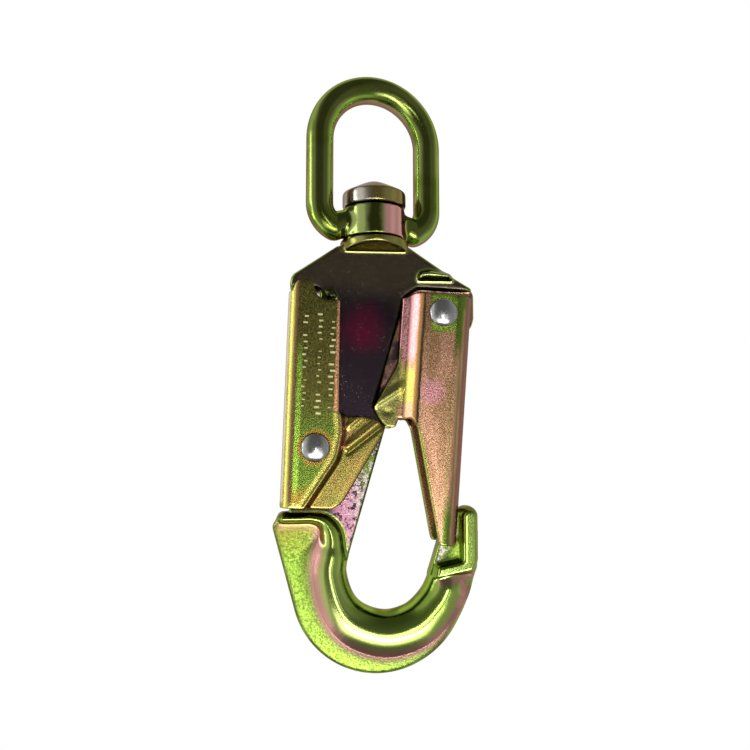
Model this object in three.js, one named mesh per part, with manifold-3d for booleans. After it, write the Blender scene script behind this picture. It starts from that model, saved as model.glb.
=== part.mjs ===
// Double-action swivel snap hook: a forged eye turns on the upset post of a forged hook,
// whose throat is closed by a sprung sheet-steel gate and guarded by a sprung lock lever.
// Millimetres. +Z runs up the swivel's axis, +X points from the spine to the nose, and the
// hook lies in the XZ plane, the same on its front (-Y) and back (+Y).
// The origin is the inside of the eye's crown, on the swivel's axis. The heights below are
// measured from a datum under it, and every mesh is put down by CROWN at the end.
import * as THREE from 'three';
import { mergeVertices } from 'three/addons/utils/BufferGeometryUtils.js';
import Module from 'manifold-3d';

const wasm = await Module();
wasm.setup();

// ---------------------------------------------------------------- driving dimensions

const RUNNING_GAP = 0.4; // between pieces that slide or turn on each other
const ARC_STEP = 15; // degrees between the points of a rounded corner
const CROWN = 2; // height of the inside of the eye's crown over the datum

// Distances from the mid plane (y = 0) of the forging's surfaces
const PLATE_LEVEL = 4; // plate and spine
const RECESS_LEVEL = 2.5; // thinned web that the gate straddles
const FLANGE_LEVEL = 3.25; // flat rim round the outside of the bowl
const BEAD_LEVEL = 6.2; // thick bead that carries the load round the bowl
const NOSE_LEVEL = 6; // rim and lug of the nose
const NOSE_TONGUE_LEVEL = 3; // thin tongue that enters the gate
const BUMP_LEVEL = 6.2; // forged bumps beside the lever and above the gate

// Pressed sheet of the gate and the lever
const SHEET = 1.5;
const RAISED_LEVEL = 8.3; // outside of the raised side walls
const LOW_LEVEL = 5.8; // outside of the lobes and the lever's tongues

// Hinges, in the XZ plane. Each channel has its own frame with its origin at its hinge.
const GATE_HINGE = [17.6, -57.8];
const GATE_TILT = 4.2; // degrees, foot towards the spine
const LEVER_HINGE = [-15.8, -93.2];
const LEVER_TILT = 1.9;

const RIVET = { shank: 2.2, head: 3.8, rise: 1.6 };
const BUSHING = { inner: 2.6, outer: 3.3 };
const SHEET_HOLE = 2.6; // radius of the rivet holes in the sheet
const BODY_HOLE = 3.7; // radius of the bushings' holes in the forging
const SEAT_GAP = 0.3; // under the rivets' heads and at the bushings' ends

// Swivel, as radii and heights
const POST_RADIUS = 4.6;
const BOSS = { outer: 8.4, bore: POST_RADIUS + RUNNING_GAP, bottom: -36.6, top: -28.2 };
const HEAD = { radius: 8.5, bottom: BOSS.top + RUNNING_GAP, shoulder: -24.4, top: -20.2 };
const COLLAR = { radius: 9.3, top: BOSS.bottom - RUNNING_GAP, rim: -38.7, foot: -40.7 };

// Eye
const EYE_BAR = 3.7; // radius of the round bar
const EYE_HALF_WIDTH = 15.5; // from the axis to the middle of a leg
const EYE_ARM_HEIGHT = -32.8; // middle of the arms where they meet the boss
const EYE_ARM_SPAN = 9.5; // from the axis to where the arms start to drop
const EYE_CORNER = { radius: 7, foot: -34.5, from: -65 }; // lower corners, below the arms
const EYE_TURN = 14; // degrees the eye stands turned on the swivel

// ---------------------------------------------------------------- outlines

/**
 * Points of a closed outline. A corner is [x, z] or [x, z, radius], and a radius rounds it
 * with an arc that touches both of its sides, shortened where a side is too short for it.
 */
function rounded(corners) {
  const points = [];
  corners.forEach(([x, z, radius = 0], i) => {
    const corner = new THREE.Vector2(x, z);
    const before = new THREE.Vector2(...corners.at(i - 1)).sub(corner);
    const after = new THREE.Vector2(...corners[(i + 1) % corners.length]).sub(corner);
    const opening = Math.abs(before.angleTo(after));
    const reach = Math.min(radius / Math.tan(opening / 2), 0.49 * before.length(), 0.49 * after.length());
    if (reach < 0.05) {
      points.push(corner);
      return;
    }
    const r = reach * Math.tan(opening / 2);
    const start = corner.clone().addScaledVector(before.normalize(), reach);
    const end = corner.clone().addScaledVector(after.normalize(), reach);
    const centre = corner.clone().addScaledVector(before.add(after).normalize(), Math.hypot(r, reach));
    const from = start.clone().sub(centre).angle();
    let turn = end.clone().sub(centre).angle() - from;
    turn -= 2 * Math.PI * Math.round(turn / (2 * Math.PI));
    const steps = Math.max(1, Math.ceil(Math.abs(THREE.MathUtils.radToDeg(turn)) / ARC_STEP));
    for (let k = 0; k <= steps; k += 1) {
      const angle = from + (turn * k) / steps;
      points.push(new THREE.Vector2(centre.x + r * Math.cos(angle), centre.y + r * Math.sin(angle)));
    }
  });
  return points;
}

const outline = (corners) => new THREE.Shape(rounded(corners));

/** Corners along an arc round [x, z], from one angle to another in degrees. */
function arc([x, z], radius, from, to, steps) {
  return Array.from({ length: steps + 1 }, (_, k) => {
    const angle = THREE.MathUtils.degToRad(from + ((to - from) * k) / steps);
    return [x + radius * Math.cos(angle), z + radius * Math.sin(angle)];
  });
}

// ---------------------------------------------------------------- solids

function solid(geometry) {
  const bare = geometry.clone();
  bare.deleteAttribute('normal');
  bare.deleteAttribute('uv');
  const merged = mergeVertices(bare, 1e-4);
  const triangles = [];
  for (let i = 0; i < merged.index.count; i += 3) {
    const [a, b, c] = [0, 1, 2].map((k) => merged.index.getX(i + k));
    if (a !== b && b !== c && c !== a) triangles.push(a, b, c);
  }
  return new wasm.Manifold(new wasm.Mesh({
    numProp: 3,
    vertProperties: merged.attributes.position.array,
    triVerts: Uint32Array.from(triangles),
  }));
}

const joined = (...pieces) => pieces.reduce((all, piece) => all.add(piece));

const NO_BEVEL = { width: 0, rise: 0 };

/**
 * An outline in the XZ plane carried along Y from one distance to another. A bevel rounds the
 * edges of its two faces, and needs every rounded corner to be wider than it is.
 */
function slab(shape, near, far, bevel = NO_BEVEL) {
  const geometry = new THREE.ExtrudeGeometry(shape, {
    depth: far - near - 2 * bevel.rise,
    bevelEnabled: bevel.rise > 0,
    bevelThickness: bevel.rise,
    bevelSize: bevel.width,
    bevelOffset: -bevel.width,
    bevelSegments: 3,
  });
  geometry.translate(0, 0, near + bevel.rise);
  geometry.rotateX(Math.PI / 2);
  return solid(geometry);
}

const middleSlab = (shape, level, bevel) => slab(shape, -level, level, bevel);
const pairOfSlabs = (shape, inner, outer) => joined(slab(shape, inner, outer), slab(shape, -outer, -inner));

/** A solid turned about Z from a profile of [radius, height] pairs that starts and ends on the axis. */
function turned(profile, sides = 32) {
  const points = profile.map(([radius, height]) => new THREE.Vector2(radius, height));
  return solid(new THREE.LatheGeometry(points, sides).rotateX(Math.PI / 2));
}

/** A round bar along Y through [x, z]. */
function crossBar([x, z], radius, halfLength, sides = 24) {
  return solid(new THREE.CylinderGeometry(radius, radius, 2 * halfLength, sides).translate(x, 0, z));
}

function box(x, y, z, width, depth, height) {
  return solid(new THREE.BoxGeometry(width, depth, height).translate(x, y, z));
}

/** A round bar of one radius along a smooth line through points. */
function bar(points, radius, sides, steps) {
  const section = new THREE.Shape(
    arc([0, 0], radius, 0, 360 - 360 / sides, sides - 1).map(([x, y]) => new THREE.Vector2(x, y)),
  );
  const path = new THREE.CatmullRomCurve3(points, false, 'centripetal');
  return solid(new THREE.ExtrudeGeometry(section, { steps, bevelEnabled: false, extrudePath: path }));
}

/** Puts a channel, made in its hinge's own frame, where it stands at rest. */
function atHinge(piece, [x, z], tilt) {
  return piece.rotate([0, tilt, 0]).translate([x, 0, z]);
}

// ---------------------------------------------------------------- swivel eye

/** A D-shaped ring of round bar whose arms run into a bored boss. */
function swivelEye() {
  const crownCentre = CROWN + EYE_BAR - EYE_HALF_WIDTH;
  const { radius, foot, from } = EYE_CORNER;
  const right = [
    [POST_RADIUS + 1.5, EYE_ARM_HEIGHT],
    [EYE_ARM_SPAN, EYE_ARM_HEIGHT],
    ...arc([EYE_HALF_WIDTH - radius, foot + radius], radius, from, 0, 4),
    [EYE_HALF_WIDTH, -20],
    ...arc([0, crownCentre], EYE_HALF_WIDTH, 0, 80, 8),
  ];
  const left = right.map(([x, z]) => [-x, z]).reverse();
  const points = [...right, [0, CROWN + EYE_BAR], ...left].map(([x, z]) => new THREE.Vector3(x, 0, z));
  const ring = bar(points, EYE_BAR, 12, 54);
  const boss = turned([
    [0, BOSS.bottom],
    [BOSS.outer - 0.6, BOSS.bottom],
    [BOSS.outer, BOSS.bottom + 0.6],
    [BOSS.outer, BOSS.top - 0.6],
    [BOSS.outer - 0.6, BOSS.top],
    [0, BOSS.top],
  ]);
  const bore = turned([[0, BOSS.bottom - 2], [BOSS.bore, BOSS.bottom - 2], [BOSS.bore, BOSS.top + 2], [0, BOSS.top + 2]]);
  return joined(ring, boss).subtract(bore).rotate([0, 0, EYE_TURN]);
}

// ---------------------------------------------------------------- hook body

const BOWL_CENTRE = [3.2, -125.2];
const BOWL_RADIUS = 10.9;
const HEEL_CENTRE = [0.7, -129];
const HEEL_RADIUS = 22.4;

/** Plate, spine and the tongue under the gate, at the plate's full thickness. */
const BODY_OUTLINE = [
  [-10.1, -39.1, 0.8],
  [-22.4, -47.3, 2.5], // left shoulder
  [-22.9, -50.5, 0.6],
  [-14.4, -50.8, 1.5], // step that leaves the lever room to be pressed
  [-22.2, -93, 6],
  [-22.4, -112],
  [-9, -124.5],
  [-7.2, -122.4],
  [-6.5, -119.7, 4],
  [2.9, -87.3, 1.8], // top of the throat
  [0.6, -83.2, 0.5],
  [17.8, -70.9, 3],
  [22.9, -61.5, 0.8],
  [26.2, -61, 0.8], // ear beside the gate
  [27.05, -58.5, 2],
  [27.05, -50.7, 3],
  [21, -47.2, 12], // right shoulder
  [9.1, -39.1, 0.8],
];

/** Where the gate's side walls straddle the body, it is thinned. The outline runs past its edge. */
const RECESS_OUTLINE = [
  [11.4, -50.4, 3],
  [7.84, -52.9, 3],
  [-0.25, -81.9, 1.2],
  [2, -84.5],
  [30, -84.5],
  [30, -51.2],
];

/** Flat rim round the outside of the bowl, from the spine's foot to the nose. */
const FLANGE_OUTLINE = [
  [-25.7, -109.7, 1.8],
  [-26.9, -112.4, 2],
  ...arc(HEEL_CENTRE, HEEL_RADIUS, 194, 336, 18),
  [27.2, -124.8, 3],
  [27.5, -115, 0],
  [22.5, -115, 0],
  ...arc(BOWL_CENTRE, BOWL_RADIUS + 2, 0, -180, 12),
  [-9.5, -118],
  [-13.5, -109.7, 3],
];

/** Bead along the top of the flange, down the spine side, round the bowl and up to the nose. */
const BEAD_OUTLINE = [
  [-25.4, -109.8, 1.4],
  [-13, -109.8, 6],
  [-7.6, -114.6, 5],
  [-7, -121, 6],
  ...arc(BOWL_CENTRE, BOWL_RADIUS, 190, 350, 16),
  [14.9, -125.6],
  [25, -125],
  [24.2, -127.6],
  [19.6, -138.4, 6],
  [14.6, -144.6, 6],
  [4.3, -147.2, 12],
  [-9.2, -144.4, 8],
  [-15.6, -136.6, 8],
  [-15.8, -113.1, 2.5],
  [-25.9, -113.1, 1.3],
];

const NOSE_OUTLINE = [
  [22, -108.5, 2.6],
  [27.5, -108.5, 2.7],
  [27.5, -122.6, 3],
  [26.2, -125.9, 1.4],
  [14.7, -128.2, 1.4],
  [15.5, -123.4, 1.4],
  [22, -122],
];

const NOSE_TONGUE_OUTLINE = [
  [14.3, -126.5],
  [16.4, -119.8],
  [18.5, -112.8, 2],
  [21, -110.3, 1.5],
  [24, -110.3],
  [24, -126.5],
];

const GATE_BUMP_OUTLINE = [
  [10.8, -49.2],
  [12.4, -46.5, 1.8],
  [20.6, -46.4, 1.8],
  [21.9, -49.2],
];

const LEVER_BUMP_OUTLINE = [
  [-13.9, -51.2, 0.7],
  [-11.1, -50.6, 0.8],
  [-9.2, -53.7, 0.8],
  [-12.9, -54.3, 0.8],
];

/** Collar under the eye: a disc whose underside slopes in to the plate's two faces. */
function collar() {
  const wide = 10;
  const disc = turned([
    [0, COLLAR.foot - 2],
    [COLLAR.radius, COLLAR.foot - 2],
    [COLLAR.radius, COLLAR.top - 0.7],
    [COLLAR.radius - 0.7, COLLAR.top],
    [0, COLLAR.top],
  ]);
  const slopes = new THREE.Shape([
    new THREE.Vector2(-PLATE_LEVEL, COLLAR.foot),
    new THREE.Vector2(PLATE_LEVEL, COLLAR.foot),
    new THREE.Vector2(wide, COLLAR.rim),
    new THREE.Vector2(wide, COLLAR.top + 1),
    new THREE.Vector2(-wide, COLLAR.top + 1),
    new THREE.Vector2(-wide, COLLAR.rim),
  ]);
  const wedge = slab(slopes, -wide, wide).rotate([0, 0, 90]);
  return disc.intersect(wedge);
}

/** Post through the eye's boss, and the head upset on its end. */
function postAndHead() {
  return turned([
    [0, COLLAR.top - 1],
    [POST_RADIUS, COLLAR.top - 1],
    [POST_RADIUS, HEAD.bottom],
    [HEAD.radius - 0.4, HEAD.bottom],
    [HEAD.radius, HEAD.bottom + 0.4],
    [HEAD.radius, HEAD.shoulder - 0.3],
    [HEAD.radius - 0.8, HEAD.shoulder + 0.8],
    [0.62 * HEAD.radius, HEAD.top - 1.3],
    [0.3 * HEAD.radius, HEAD.top - 0.2],
    [0, HEAD.top],
  ]);
}

function hookBody() {
  const plate = middleSlab(outline(BODY_OUTLINE), PLATE_LEVEL)
    .subtract(pairOfSlabs(outline(RECESS_OUTLINE), RECESS_LEVEL, PLATE_LEVEL + 1));
  const forging = joined(
    plate,
    middleSlab(outline(FLANGE_OUTLINE), FLANGE_LEVEL),
    middleSlab(outline(BEAD_OUTLINE), BEAD_LEVEL, { width: 1.15, rise: 2.4 }),
    middleSlab(outline(NOSE_OUTLINE), NOSE_LEVEL, { width: 1, rise: 1.6 }),
    middleSlab(outline(NOSE_TONGUE_OUTLINE), NOSE_TONGUE_LEVEL),
    middleSlab(outline(GATE_BUMP_OUTLINE), BUMP_LEVEL, { width: 1, rise: 1.6 }),
    middleSlab(outline(LEVER_BUMP_OUTLINE), BUMP_LEVEL - 1, { width: 0.4, rise: 0.6 }),
    collar(),
    postAndHead(),
  );
  const springHole = [LEVER_HINGE[0] - LEVER_SPRING.coil, LEVER_HINGE[1] - LEVER_SPRING.foot];
  return forging
    .subtract(crossBar(GATE_HINGE, BODY_HOLE, PLATE_LEVEL + 1))
    .subtract(crossBar(LEVER_HINGE, BODY_HOLE, PLATE_LEVEL + 1))
    .subtract(crossBar(springHole, LEVER_SPRING.wire + RUNNING_GAP, PLATE_LEVEL + 1, 12));
}

// ---------------------------------------------------------------- pressed channels

/**
 * Section of a channel in its own XY plane. The back stands at x = back, rolled into the two
 * side walls by the bend, and each wall ends at x = lip. With a joggle, the wall steps down
 * to the low level between the two given places before it ends.
 */
function channelSection(back, bend, lip, joggle) {
  const side = Math.sign(back);
  const half = (outer, inset) => {
    const points = joggle
      ? [[lip, LOW_LEVEL - inset], [joggle.low + 0.3 * side * inset, LOW_LEVEL - inset], [joggle.high + 0.3 * side * inset, outer]]
      : [[lip, outer]];
    const radius = bend - inset;
    const rolled = arc([Math.abs(back) - bend, outer - radius], radius, 90, 0, 5).map(([x, y]) => [side * x, y]);
    return [...points, ...rolled];
  };
  const outside = half(RAISED_LEVEL, 0);
  const inside = half(RAISED_LEVEL - SHEET, SHEET).reverse();
  const mirror = (points) => points.map(([x, y]) => [x, -y]).reverse();
  const loop = [...outside, ...mirror(outside), ...mirror(inside), ...inside];
  return new THREE.Shape(loop.map(([x, y]) => new THREE.Vector2(x, y)));
}

/** A channel's section carried along Z and trimmed to its side outline. */
function channel(section, sideOutline, bottom, top) {
  const geometry = new THREE.ExtrudeGeometry(section, { depth: top - bottom, bevelEnabled: false });
  geometry.translate(0, 0, bottom);
  return solid(geometry).intersect(middleSlab(outline(sideOutline), RAISED_LEVEL + 1));
}

const SLOT_DEPTH = 6; // of the cuts through a channel's back, more than the back is thick

const GATE = {
  back: 7.95,
  bend: 4,
  lip: -9.6,
  joggle: { low: -8.3, high: -4.9 },
  top: 5.2,
  foot: -60.5,
  earSlot: { from: -3.7, width: 8.6 }, // the back starts below the body's ear
  noseSlot: { from: -49.5, width: 7.4 }, // and is slotted for the nose's tongue from here down
};

const GATE_OUTLINE = [
  [GATE.lip - 1, GATE.top - 1.6],
  [GATE.lip + 0.5, GATE.top - 1.2, 1],
  [GATE.lip + 2, GATE.top, 1.5],
  [GATE.back + 1, GATE.top],
  [GATE.back + 1, GATE.foot],
  [3.2, GATE.foot, 1.2],
  [2.7, -59, 3],
  [-4.7, -30.4, 2],
  [-6.2, -28.3, 1.2],
  [GATE.lip - 1, -28.3],
];

/** Lobe at the low level that stands behind the lever's tongue when the gate is shut. */
const GATE_LOBE_OUTLINE = [
  [-8.4, -10.5],
  [-10.9, -15, 6],
  [-16.4, -26.2, 0.9],
  [-14.3, -29.5, 1.2],
  [-12.5, -31, 1.2],
  [-10.2, -31, 1],
  [-9.4, -28.3, 0.3],
  [-8.4, -28.3],
];

function gate() {
  const section = channelSection(GATE.back, GATE.bend, GATE.lip, GATE.joggle);
  const { earSlot, noseSlot } = GATE;
  const earSlotHeight = 2 + GATE.top - earSlot.from;
  const noseSlotHeight = 2 + noseSlot.from - GATE.foot;
  const pressed = joined(
    channel(section, GATE_OUTLINE, GATE.foot - 1, GATE.top + 1),
    pairOfSlabs(outline(GATE_LOBE_OUTLINE), LOW_LEVEL - SHEET, LOW_LEVEL),
  )
    .subtract(box(GATE.back, 0, earSlot.from + earSlotHeight / 2, SLOT_DEPTH, earSlot.width, earSlotHeight))
    .subtract(box(GATE.back, 0, noseSlot.from - noseSlotHeight / 2, SLOT_DEPTH, noseSlot.width, noseSlotHeight))
    .subtract(crossBar([0, 0], SHEET_HOLE, RAISED_LEVEL + 1));
  return atHinge(pressed, GATE_HINGE, GATE_TILT);
}

const LEVER = {
  back: -8.56,
  bend: 3,
  lip: 6.5,
  foot: -15.7,
  top: 43.6,
  shoulder: 40.8, // the rolled corners end here
  shoulderSlot: { from: 39.4, width: 10.4 }, // and the back starts here, below the body's left shoulder
};

/** The raised wall's free edge below its tongue, where the sheet steps down to the low level. */
const LEVER_CREST = [
  [5.7, 9.3, 0.8],
  [6.3, 4, 5],
  [5.2, -2.5, 6],
  [-2.9, LEVER.foot],
];

const LEVER_OUTLINE = [
  [LEVER.back - 1, LEVER.shoulder],
  [-7.6, LEVER.shoulder, 0.5],
  [-6.5, LEVER.top, 1.5],
  [-2.4, LEVER.top, 0.6],
  [-0.9, 38.7, 3.5], // round notch
  [5, 38.7, 0.4],
  ...LEVER_CREST,
  [LEVER.back - 1, LEVER.foot],
];

/** Step between the raised wall and the low flange, one sheet thick. */
const LEVER_STEP_OUTLINE = [
  ...LEVER_CREST,
  [-1.1, LEVER.foot],
  [6.7, -3.2, 6],
  [7.8, 4.1, 5],
  [7.2, 9.3, 0.6],
];

const LEVER_TONGUE_OUTLINE = [
  [6.4, 8.2],
  [12.5, 8.6, 4],
  [15.7, 8, 1.2],
  [17.3, 6.6, 1],
  [17.9, 4.6, 1],
  [7.8, -13.8, 4],
  [5, LEVER.foot, 1],
  [-2.9, LEVER.foot],
  [5.2, -2.5],
  [6.3, 4],
];

function lockLever() {
  const section = channelSection(LEVER.back, LEVER.bend, LEVER.lip, null);
  const { from, width } = LEVER.shoulderSlot;
  const slotHeight = 2 + LEVER.top - from;
  const pressed = joined(
    channel(section, LEVER_OUTLINE, LEVER.foot - 1, LEVER.top + 1),
    pairOfSlabs(outline(LEVER_STEP_OUTLINE), LOW_LEVEL - SHEET, RAISED_LEVEL),
    pairOfSlabs(outline(LEVER_TONGUE_OUTLINE), LOW_LEVEL - SHEET, LOW_LEVEL),
  )
    .subtract(box(LEVER.back, 0, from + slotHeight / 2, SLOT_DEPTH, width, slotHeight))
    .subtract(crossBar([0, 0], SHEET_HOLE, RAISED_LEVEL + 1));
  return atHinge(pressed, LEVER_HINGE, LEVER_TILT);
}

// ---------------------------------------------------------------- rivets, bushings, springs

/** A solid rivet along Y with a domed head outside each side wall. */
function rivet([x, z]) {
  const seat = RAISED_LEVEL + SEAT_GAP;
  const dome = arc([0, 0], 1, 0, 90, 5).map(([across, up]) => [RIVET.head * across, seat + 0.2 + RIVET.rise * up]);
  const upper = [[RIVET.shank, seat], [RIVET.head - 0.2, seat], ...dome];
  const lower = upper.map(([radius, height]) => [radius, -height]).reverse();
  const profile = [...lower, ...upper].map(([radius, height]) => new THREE.Vector2(Math.max(radius, 0), height));
  profile[0].x = 0;
  profile.at(-1).x = 0;
  return solid(new THREE.LatheGeometry(profile, 28).translate(x, 0, z));
}

/** A spacer tube round the rivet, which keeps the side walls apart. */
function bushing(hinge) {
  const halfLength = RAISED_LEVEL - SHEET - SEAT_GAP;
  return crossBar(hinge, BUSHING.outer, halfLength).subtract(crossBar(hinge, BUSHING.inner, halfLength + 1));
}

const GATE_SPRING = { coil: 4.2, wire: 0.5, inner: 3.4, outer: 5.6, start: 0, turns: 2 };
const LEVER_SPRING = { coil: 4.2, wire: 0.5, inner: 4.9, outer: 5.95, start: 180, turns: 1, foot: 8.1 };

// Distance from the mid plane and height below the hinge along the lever spring's bent foot
const LEVER_SPRING_FOOT = [[4.9, 3.6], [4.9, 5.4], [4.78, 6.7], [4.4, 7.6], [3.7, 8.05], [2.8, 8.1], [1.6, 8.1]];

/**
 * A torsion spring round a hinge. Its first leg runs from tip to the coil, which winds from the
 * outer to the inner distance from the mid plane, and its last leg follows the given points.
 */
function torsionSpring([x, z], side, size, tip, lastLeg) {
  const stepsPerTurn = 12;
  const count = stepsPerTurn * size.turns;
  const coil = Array.from({ length: count + 1 }, (_, k) => {
    const angle = THREE.MathUtils.degToRad(size.start + (360 * k) / stepsPerTurn);
    const out = THREE.MathUtils.lerp(size.outer, size.inner, k / count);
    return [size.coil * Math.cos(angle), out, size.coil * Math.sin(angle)];
  });
  const firstLeg = [0, 0.5].map((k) => [
    THREE.MathUtils.lerp(tip[0], coil[0][0], k),
    size.outer,
    THREE.MathUtils.lerp(tip[1], coil[0][2], k),
  ]);
  const path = [...firstLeg, ...coil, ...lastLeg];
  const points = path.map(([px, out, pz]) => new THREE.Vector3(x + px, side * out, z + pz));
  return bar(points, size.wire, 6, 56);
}

function gateSpring(side) {
  const { inner } = GATE_SPRING;
  return torsionSpring(GATE_HINGE, side, GATE_SPRING, [4.6, -13], [[4.3, inner, 3], [3.9, inner, 5.4]]);
}

function leverSpring(side) {
  const lastLeg = LEVER_SPRING_FOOT.map(([out, drop]) => [-LEVER_SPRING.coil, out, -drop]);
  return torsionSpring(LEVER_HINGE, side, LEVER_SPRING, [-5.4, 13], lastLeg);
}

// ---------------------------------------------------------------- assembly

const zincYellow = { color: 0x8f8a3c, roughness: 0.3, metalness: 0.9 };
const finishes = {
  eyePlating: new THREE.MeshStandardMaterial({ ...zincYellow, name: 'eye_plating' }),
  bodyPlating: new THREE.MeshStandardMaterial({ ...zincYellow, name: 'body_plating', roughness: 0.38 }),
  gatePlating: new THREE.MeshStandardMaterial({ color: 0xb5826a, name: 'gate_plating', roughness: 0.32, metalness: 0.9 }),
  leverPlating: new THREE.MeshStandardMaterial({ color: 0x7d7a2c, name: 'lever_plating', roughness: 0.32, metalness: 0.9 }),
  rivetSteel: new THREE.MeshStandardMaterial({ color: 0xa9a89f, name: 'rivet_steel', roughness: 0.25, metalness: 0.95 }),
  springSteel: new THREE.MeshStandardMaterial({ color: 0x6e6c66, name: 'spring_steel', roughness: 0.4, metalness: 0.9 }),
};

function mesh(name, piece, material) {
  const { vertProperties, triVerts } = piece.getMesh();
  const geometry = new THREE.BufferGeometry();
  geometry.setAttribute('position', new THREE.BufferAttribute(Float32Array.from(vertProperties), 3));
  geometry.setIndex(new THREE.BufferAttribute(Uint32Array.from(triVerts), 1));
  geometry.translate(0, 0, -CROWN);
  geometry.computeVertexNormals();
  const node = new THREE.Mesh(geometry, material);
  node.name = name;
  return node;
}

const swivelHook = new THREE.Group();
swivelHook.add(
  mesh('swivel_eye', swivelEye(), finishes.eyePlating),
  mesh('hook_body', hookBody(), finishes.bodyPlating),
  mesh('gate', gate(), finishes.gatePlating),
  mesh('lock_lever', lockLever(), finishes.leverPlating),
  mesh('gate_rivet', rivet(GATE_HINGE), finishes.rivetSteel),
  mesh('lever_rivet', rivet(LEVER_HINGE), finishes.rivetSteel),
  mesh('gate_bushing', bushing(GATE_HINGE), finishes.rivetSteel),
  mesh('lever_bushing', bushing(LEVER_HINGE), finishes.rivetSteel),
);
for (const [end, side] of [['front', -1], ['rear', 1]]) {
  swivelHook.add(
    mesh(`gate_spring_${end}`, gateSpring(side), finishes.springSteel),
    mesh(`lever_spring_${end}`, leverSpring(side), finishes.springSteel),
  );
}

export default swivelHook;
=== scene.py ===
"""Forged swivel snap hook in yellow zinc plating, on a plain white stage.

The forging, the eye and the two pressed channels are computed as distance fields and drawn
as smooth surfaces of them. The rivets are turned profiles and the springs are swept wires.
Lengths inside the fields are millimetres; Blender's own are metres.
"""

import math

import bpy
import numpy as np
from bpy.props import FloatProperty, FloatVectorProperty, PointerProperty
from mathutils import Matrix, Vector


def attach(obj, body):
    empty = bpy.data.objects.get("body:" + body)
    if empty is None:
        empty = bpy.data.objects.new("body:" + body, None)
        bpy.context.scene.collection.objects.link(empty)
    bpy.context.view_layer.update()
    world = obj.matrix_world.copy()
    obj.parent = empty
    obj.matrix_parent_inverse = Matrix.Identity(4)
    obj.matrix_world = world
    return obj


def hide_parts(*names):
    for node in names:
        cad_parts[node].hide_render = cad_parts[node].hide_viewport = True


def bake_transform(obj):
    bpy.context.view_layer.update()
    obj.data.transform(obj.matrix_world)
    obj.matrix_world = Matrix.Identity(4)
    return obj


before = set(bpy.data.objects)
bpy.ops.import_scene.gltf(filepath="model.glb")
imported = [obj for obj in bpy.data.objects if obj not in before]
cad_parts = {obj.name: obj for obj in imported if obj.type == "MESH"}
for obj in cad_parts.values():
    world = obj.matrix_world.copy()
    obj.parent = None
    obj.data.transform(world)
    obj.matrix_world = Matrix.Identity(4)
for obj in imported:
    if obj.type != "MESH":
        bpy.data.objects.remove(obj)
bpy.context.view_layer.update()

bl_info = {
    "name": "Swivel snap hook",
    "version": (1, 0, 0),
    "blender": (4, 5, 0),
    "location": "3D View > Sidebar > Hook",
    "description": "Builds a plated, double-action swivel snap hook",
    "category": "Add Mesh",
}

MM = 0.001
COARSE_ARC = 10.0  # degrees between the points of a rounded corner where only a mask needs it
CROWN = 2.0  # height in mm of the origin over the datum that the outlines are measured from


# ---------------------------------------------------------------- property helpers


def length(name, description, default):
    """A length in metres, shown in the scene's unit."""
    return FloatProperty(name=name, description=description, default=default * MM, unit="LENGTH")


def angle(name, description, default):
    """An angle in radians, given here in degrees."""
    return FloatProperty(
        name=name, description=description, default=math.radians(default), unit="ROTATION"
    )


def colour(name, description, default):
    """A linear colour."""
    return FloatVectorProperty(
        name=name, description=description, default=default, min=0, max=1, subtype="COLOR"
    )


# ---------------------------------------------------------------- outlines


def rounded(corners, arc_step=5.0):
    """Points of a closed outline in the XZ plane.

    Each corner is (x, z) or (x, z, radius). A radius cuts the corner back along both sides by
    radius / tan(half the opening), and fills in the arc that touches both sides.
    """
    count = len(corners)
    points = []
    for i, corner in enumerate(corners):
        here = np.array(corner[:2], float)
        radius = corner[2] if len(corner) > 2 else 0.0
        before = np.array(corners[i - 1][:2], float) - here
        after = np.array(corners[(i + 1) % count][:2], float) - here
        span = np.linalg.norm(before), np.linalg.norm(after)
        before, after = before / span[0], after / span[1]
        half = 0.5 * math.acos(float(np.clip(before @ after, -1, 1)))
        reach = min(radius / math.tan(half) if radius else 0.0, 0.49 * span[0], 0.49 * span[1])
        if reach < 0.05:
            points.append(here)
            continue
        fitted = reach * math.tan(half)
        middle = before + after
        centre = here + middle / np.linalg.norm(middle) * math.hypot(fitted, reach)
        first, last = here + before * reach - centre, here + after * reach - centre
        start = math.atan2(first[1], first[0])
        turn = math.remainder(math.atan2(last[1], last[0]) - start, 2 * math.pi)
        steps = max(1, math.ceil(abs(math.degrees(turn)) / arc_step))
        along = start + turn * np.linspace(0, 1, steps + 1)
        points.extend(centre + fitted * np.stack([np.cos(along), np.sin(along)], 1))
    return np.array(points)


def arc(centre, radius, start, end, steps):
    """Corners along an arc round centre, from one angle to another in degrees."""
    along = np.radians(np.linspace(start, end, steps + 1))
    return [
        (x, z)
        for x, z in zip(centre[0] + radius * np.cos(along), centre[1] + radius * np.sin(along))
    ]


def outline_distance(points, x, z):
    """Distance in the XZ plane from (x, z) to a closed outline, negative inside it.

    The distance is to the nearest point of the nearest side, and a place is inside where a ray
    from it crosses an odd number of sides.
    """
    x, z = np.broadcast_arrays(x, z)
    x, z = x[..., None], z[..., None]
    ax, az = points[:, 0], points[:, 1]
    bx, bz = np.roll(ax, -1), np.roll(az, -1)
    dx, dz = bx - ax, bz - az
    t = np.clip(((x - ax) * dx + (z - az) * dz) / (dx * dx + dz * dz), 0, 1)
    nearest = np.sqrt(((x - ax - t * dx) ** 2 + (z - az - t * dz) ** 2).min(-1))
    spans = (az > z) != (bz > z)
    crossing = ax + (z - az) * dx / np.where(dz == 0, 1e-12, dz)
    inside = (spans & (x < crossing)).sum(-1) % 2 == 1
    return np.where(inside, -nearest, nearest)


def shape_distance(corners, x, z, arc_step=5.0):
    """Distance in the XZ plane from (x, z) to the rounded outline of some corners."""
    return outline_distance(rounded(corners, arc_step), x, z)


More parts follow.
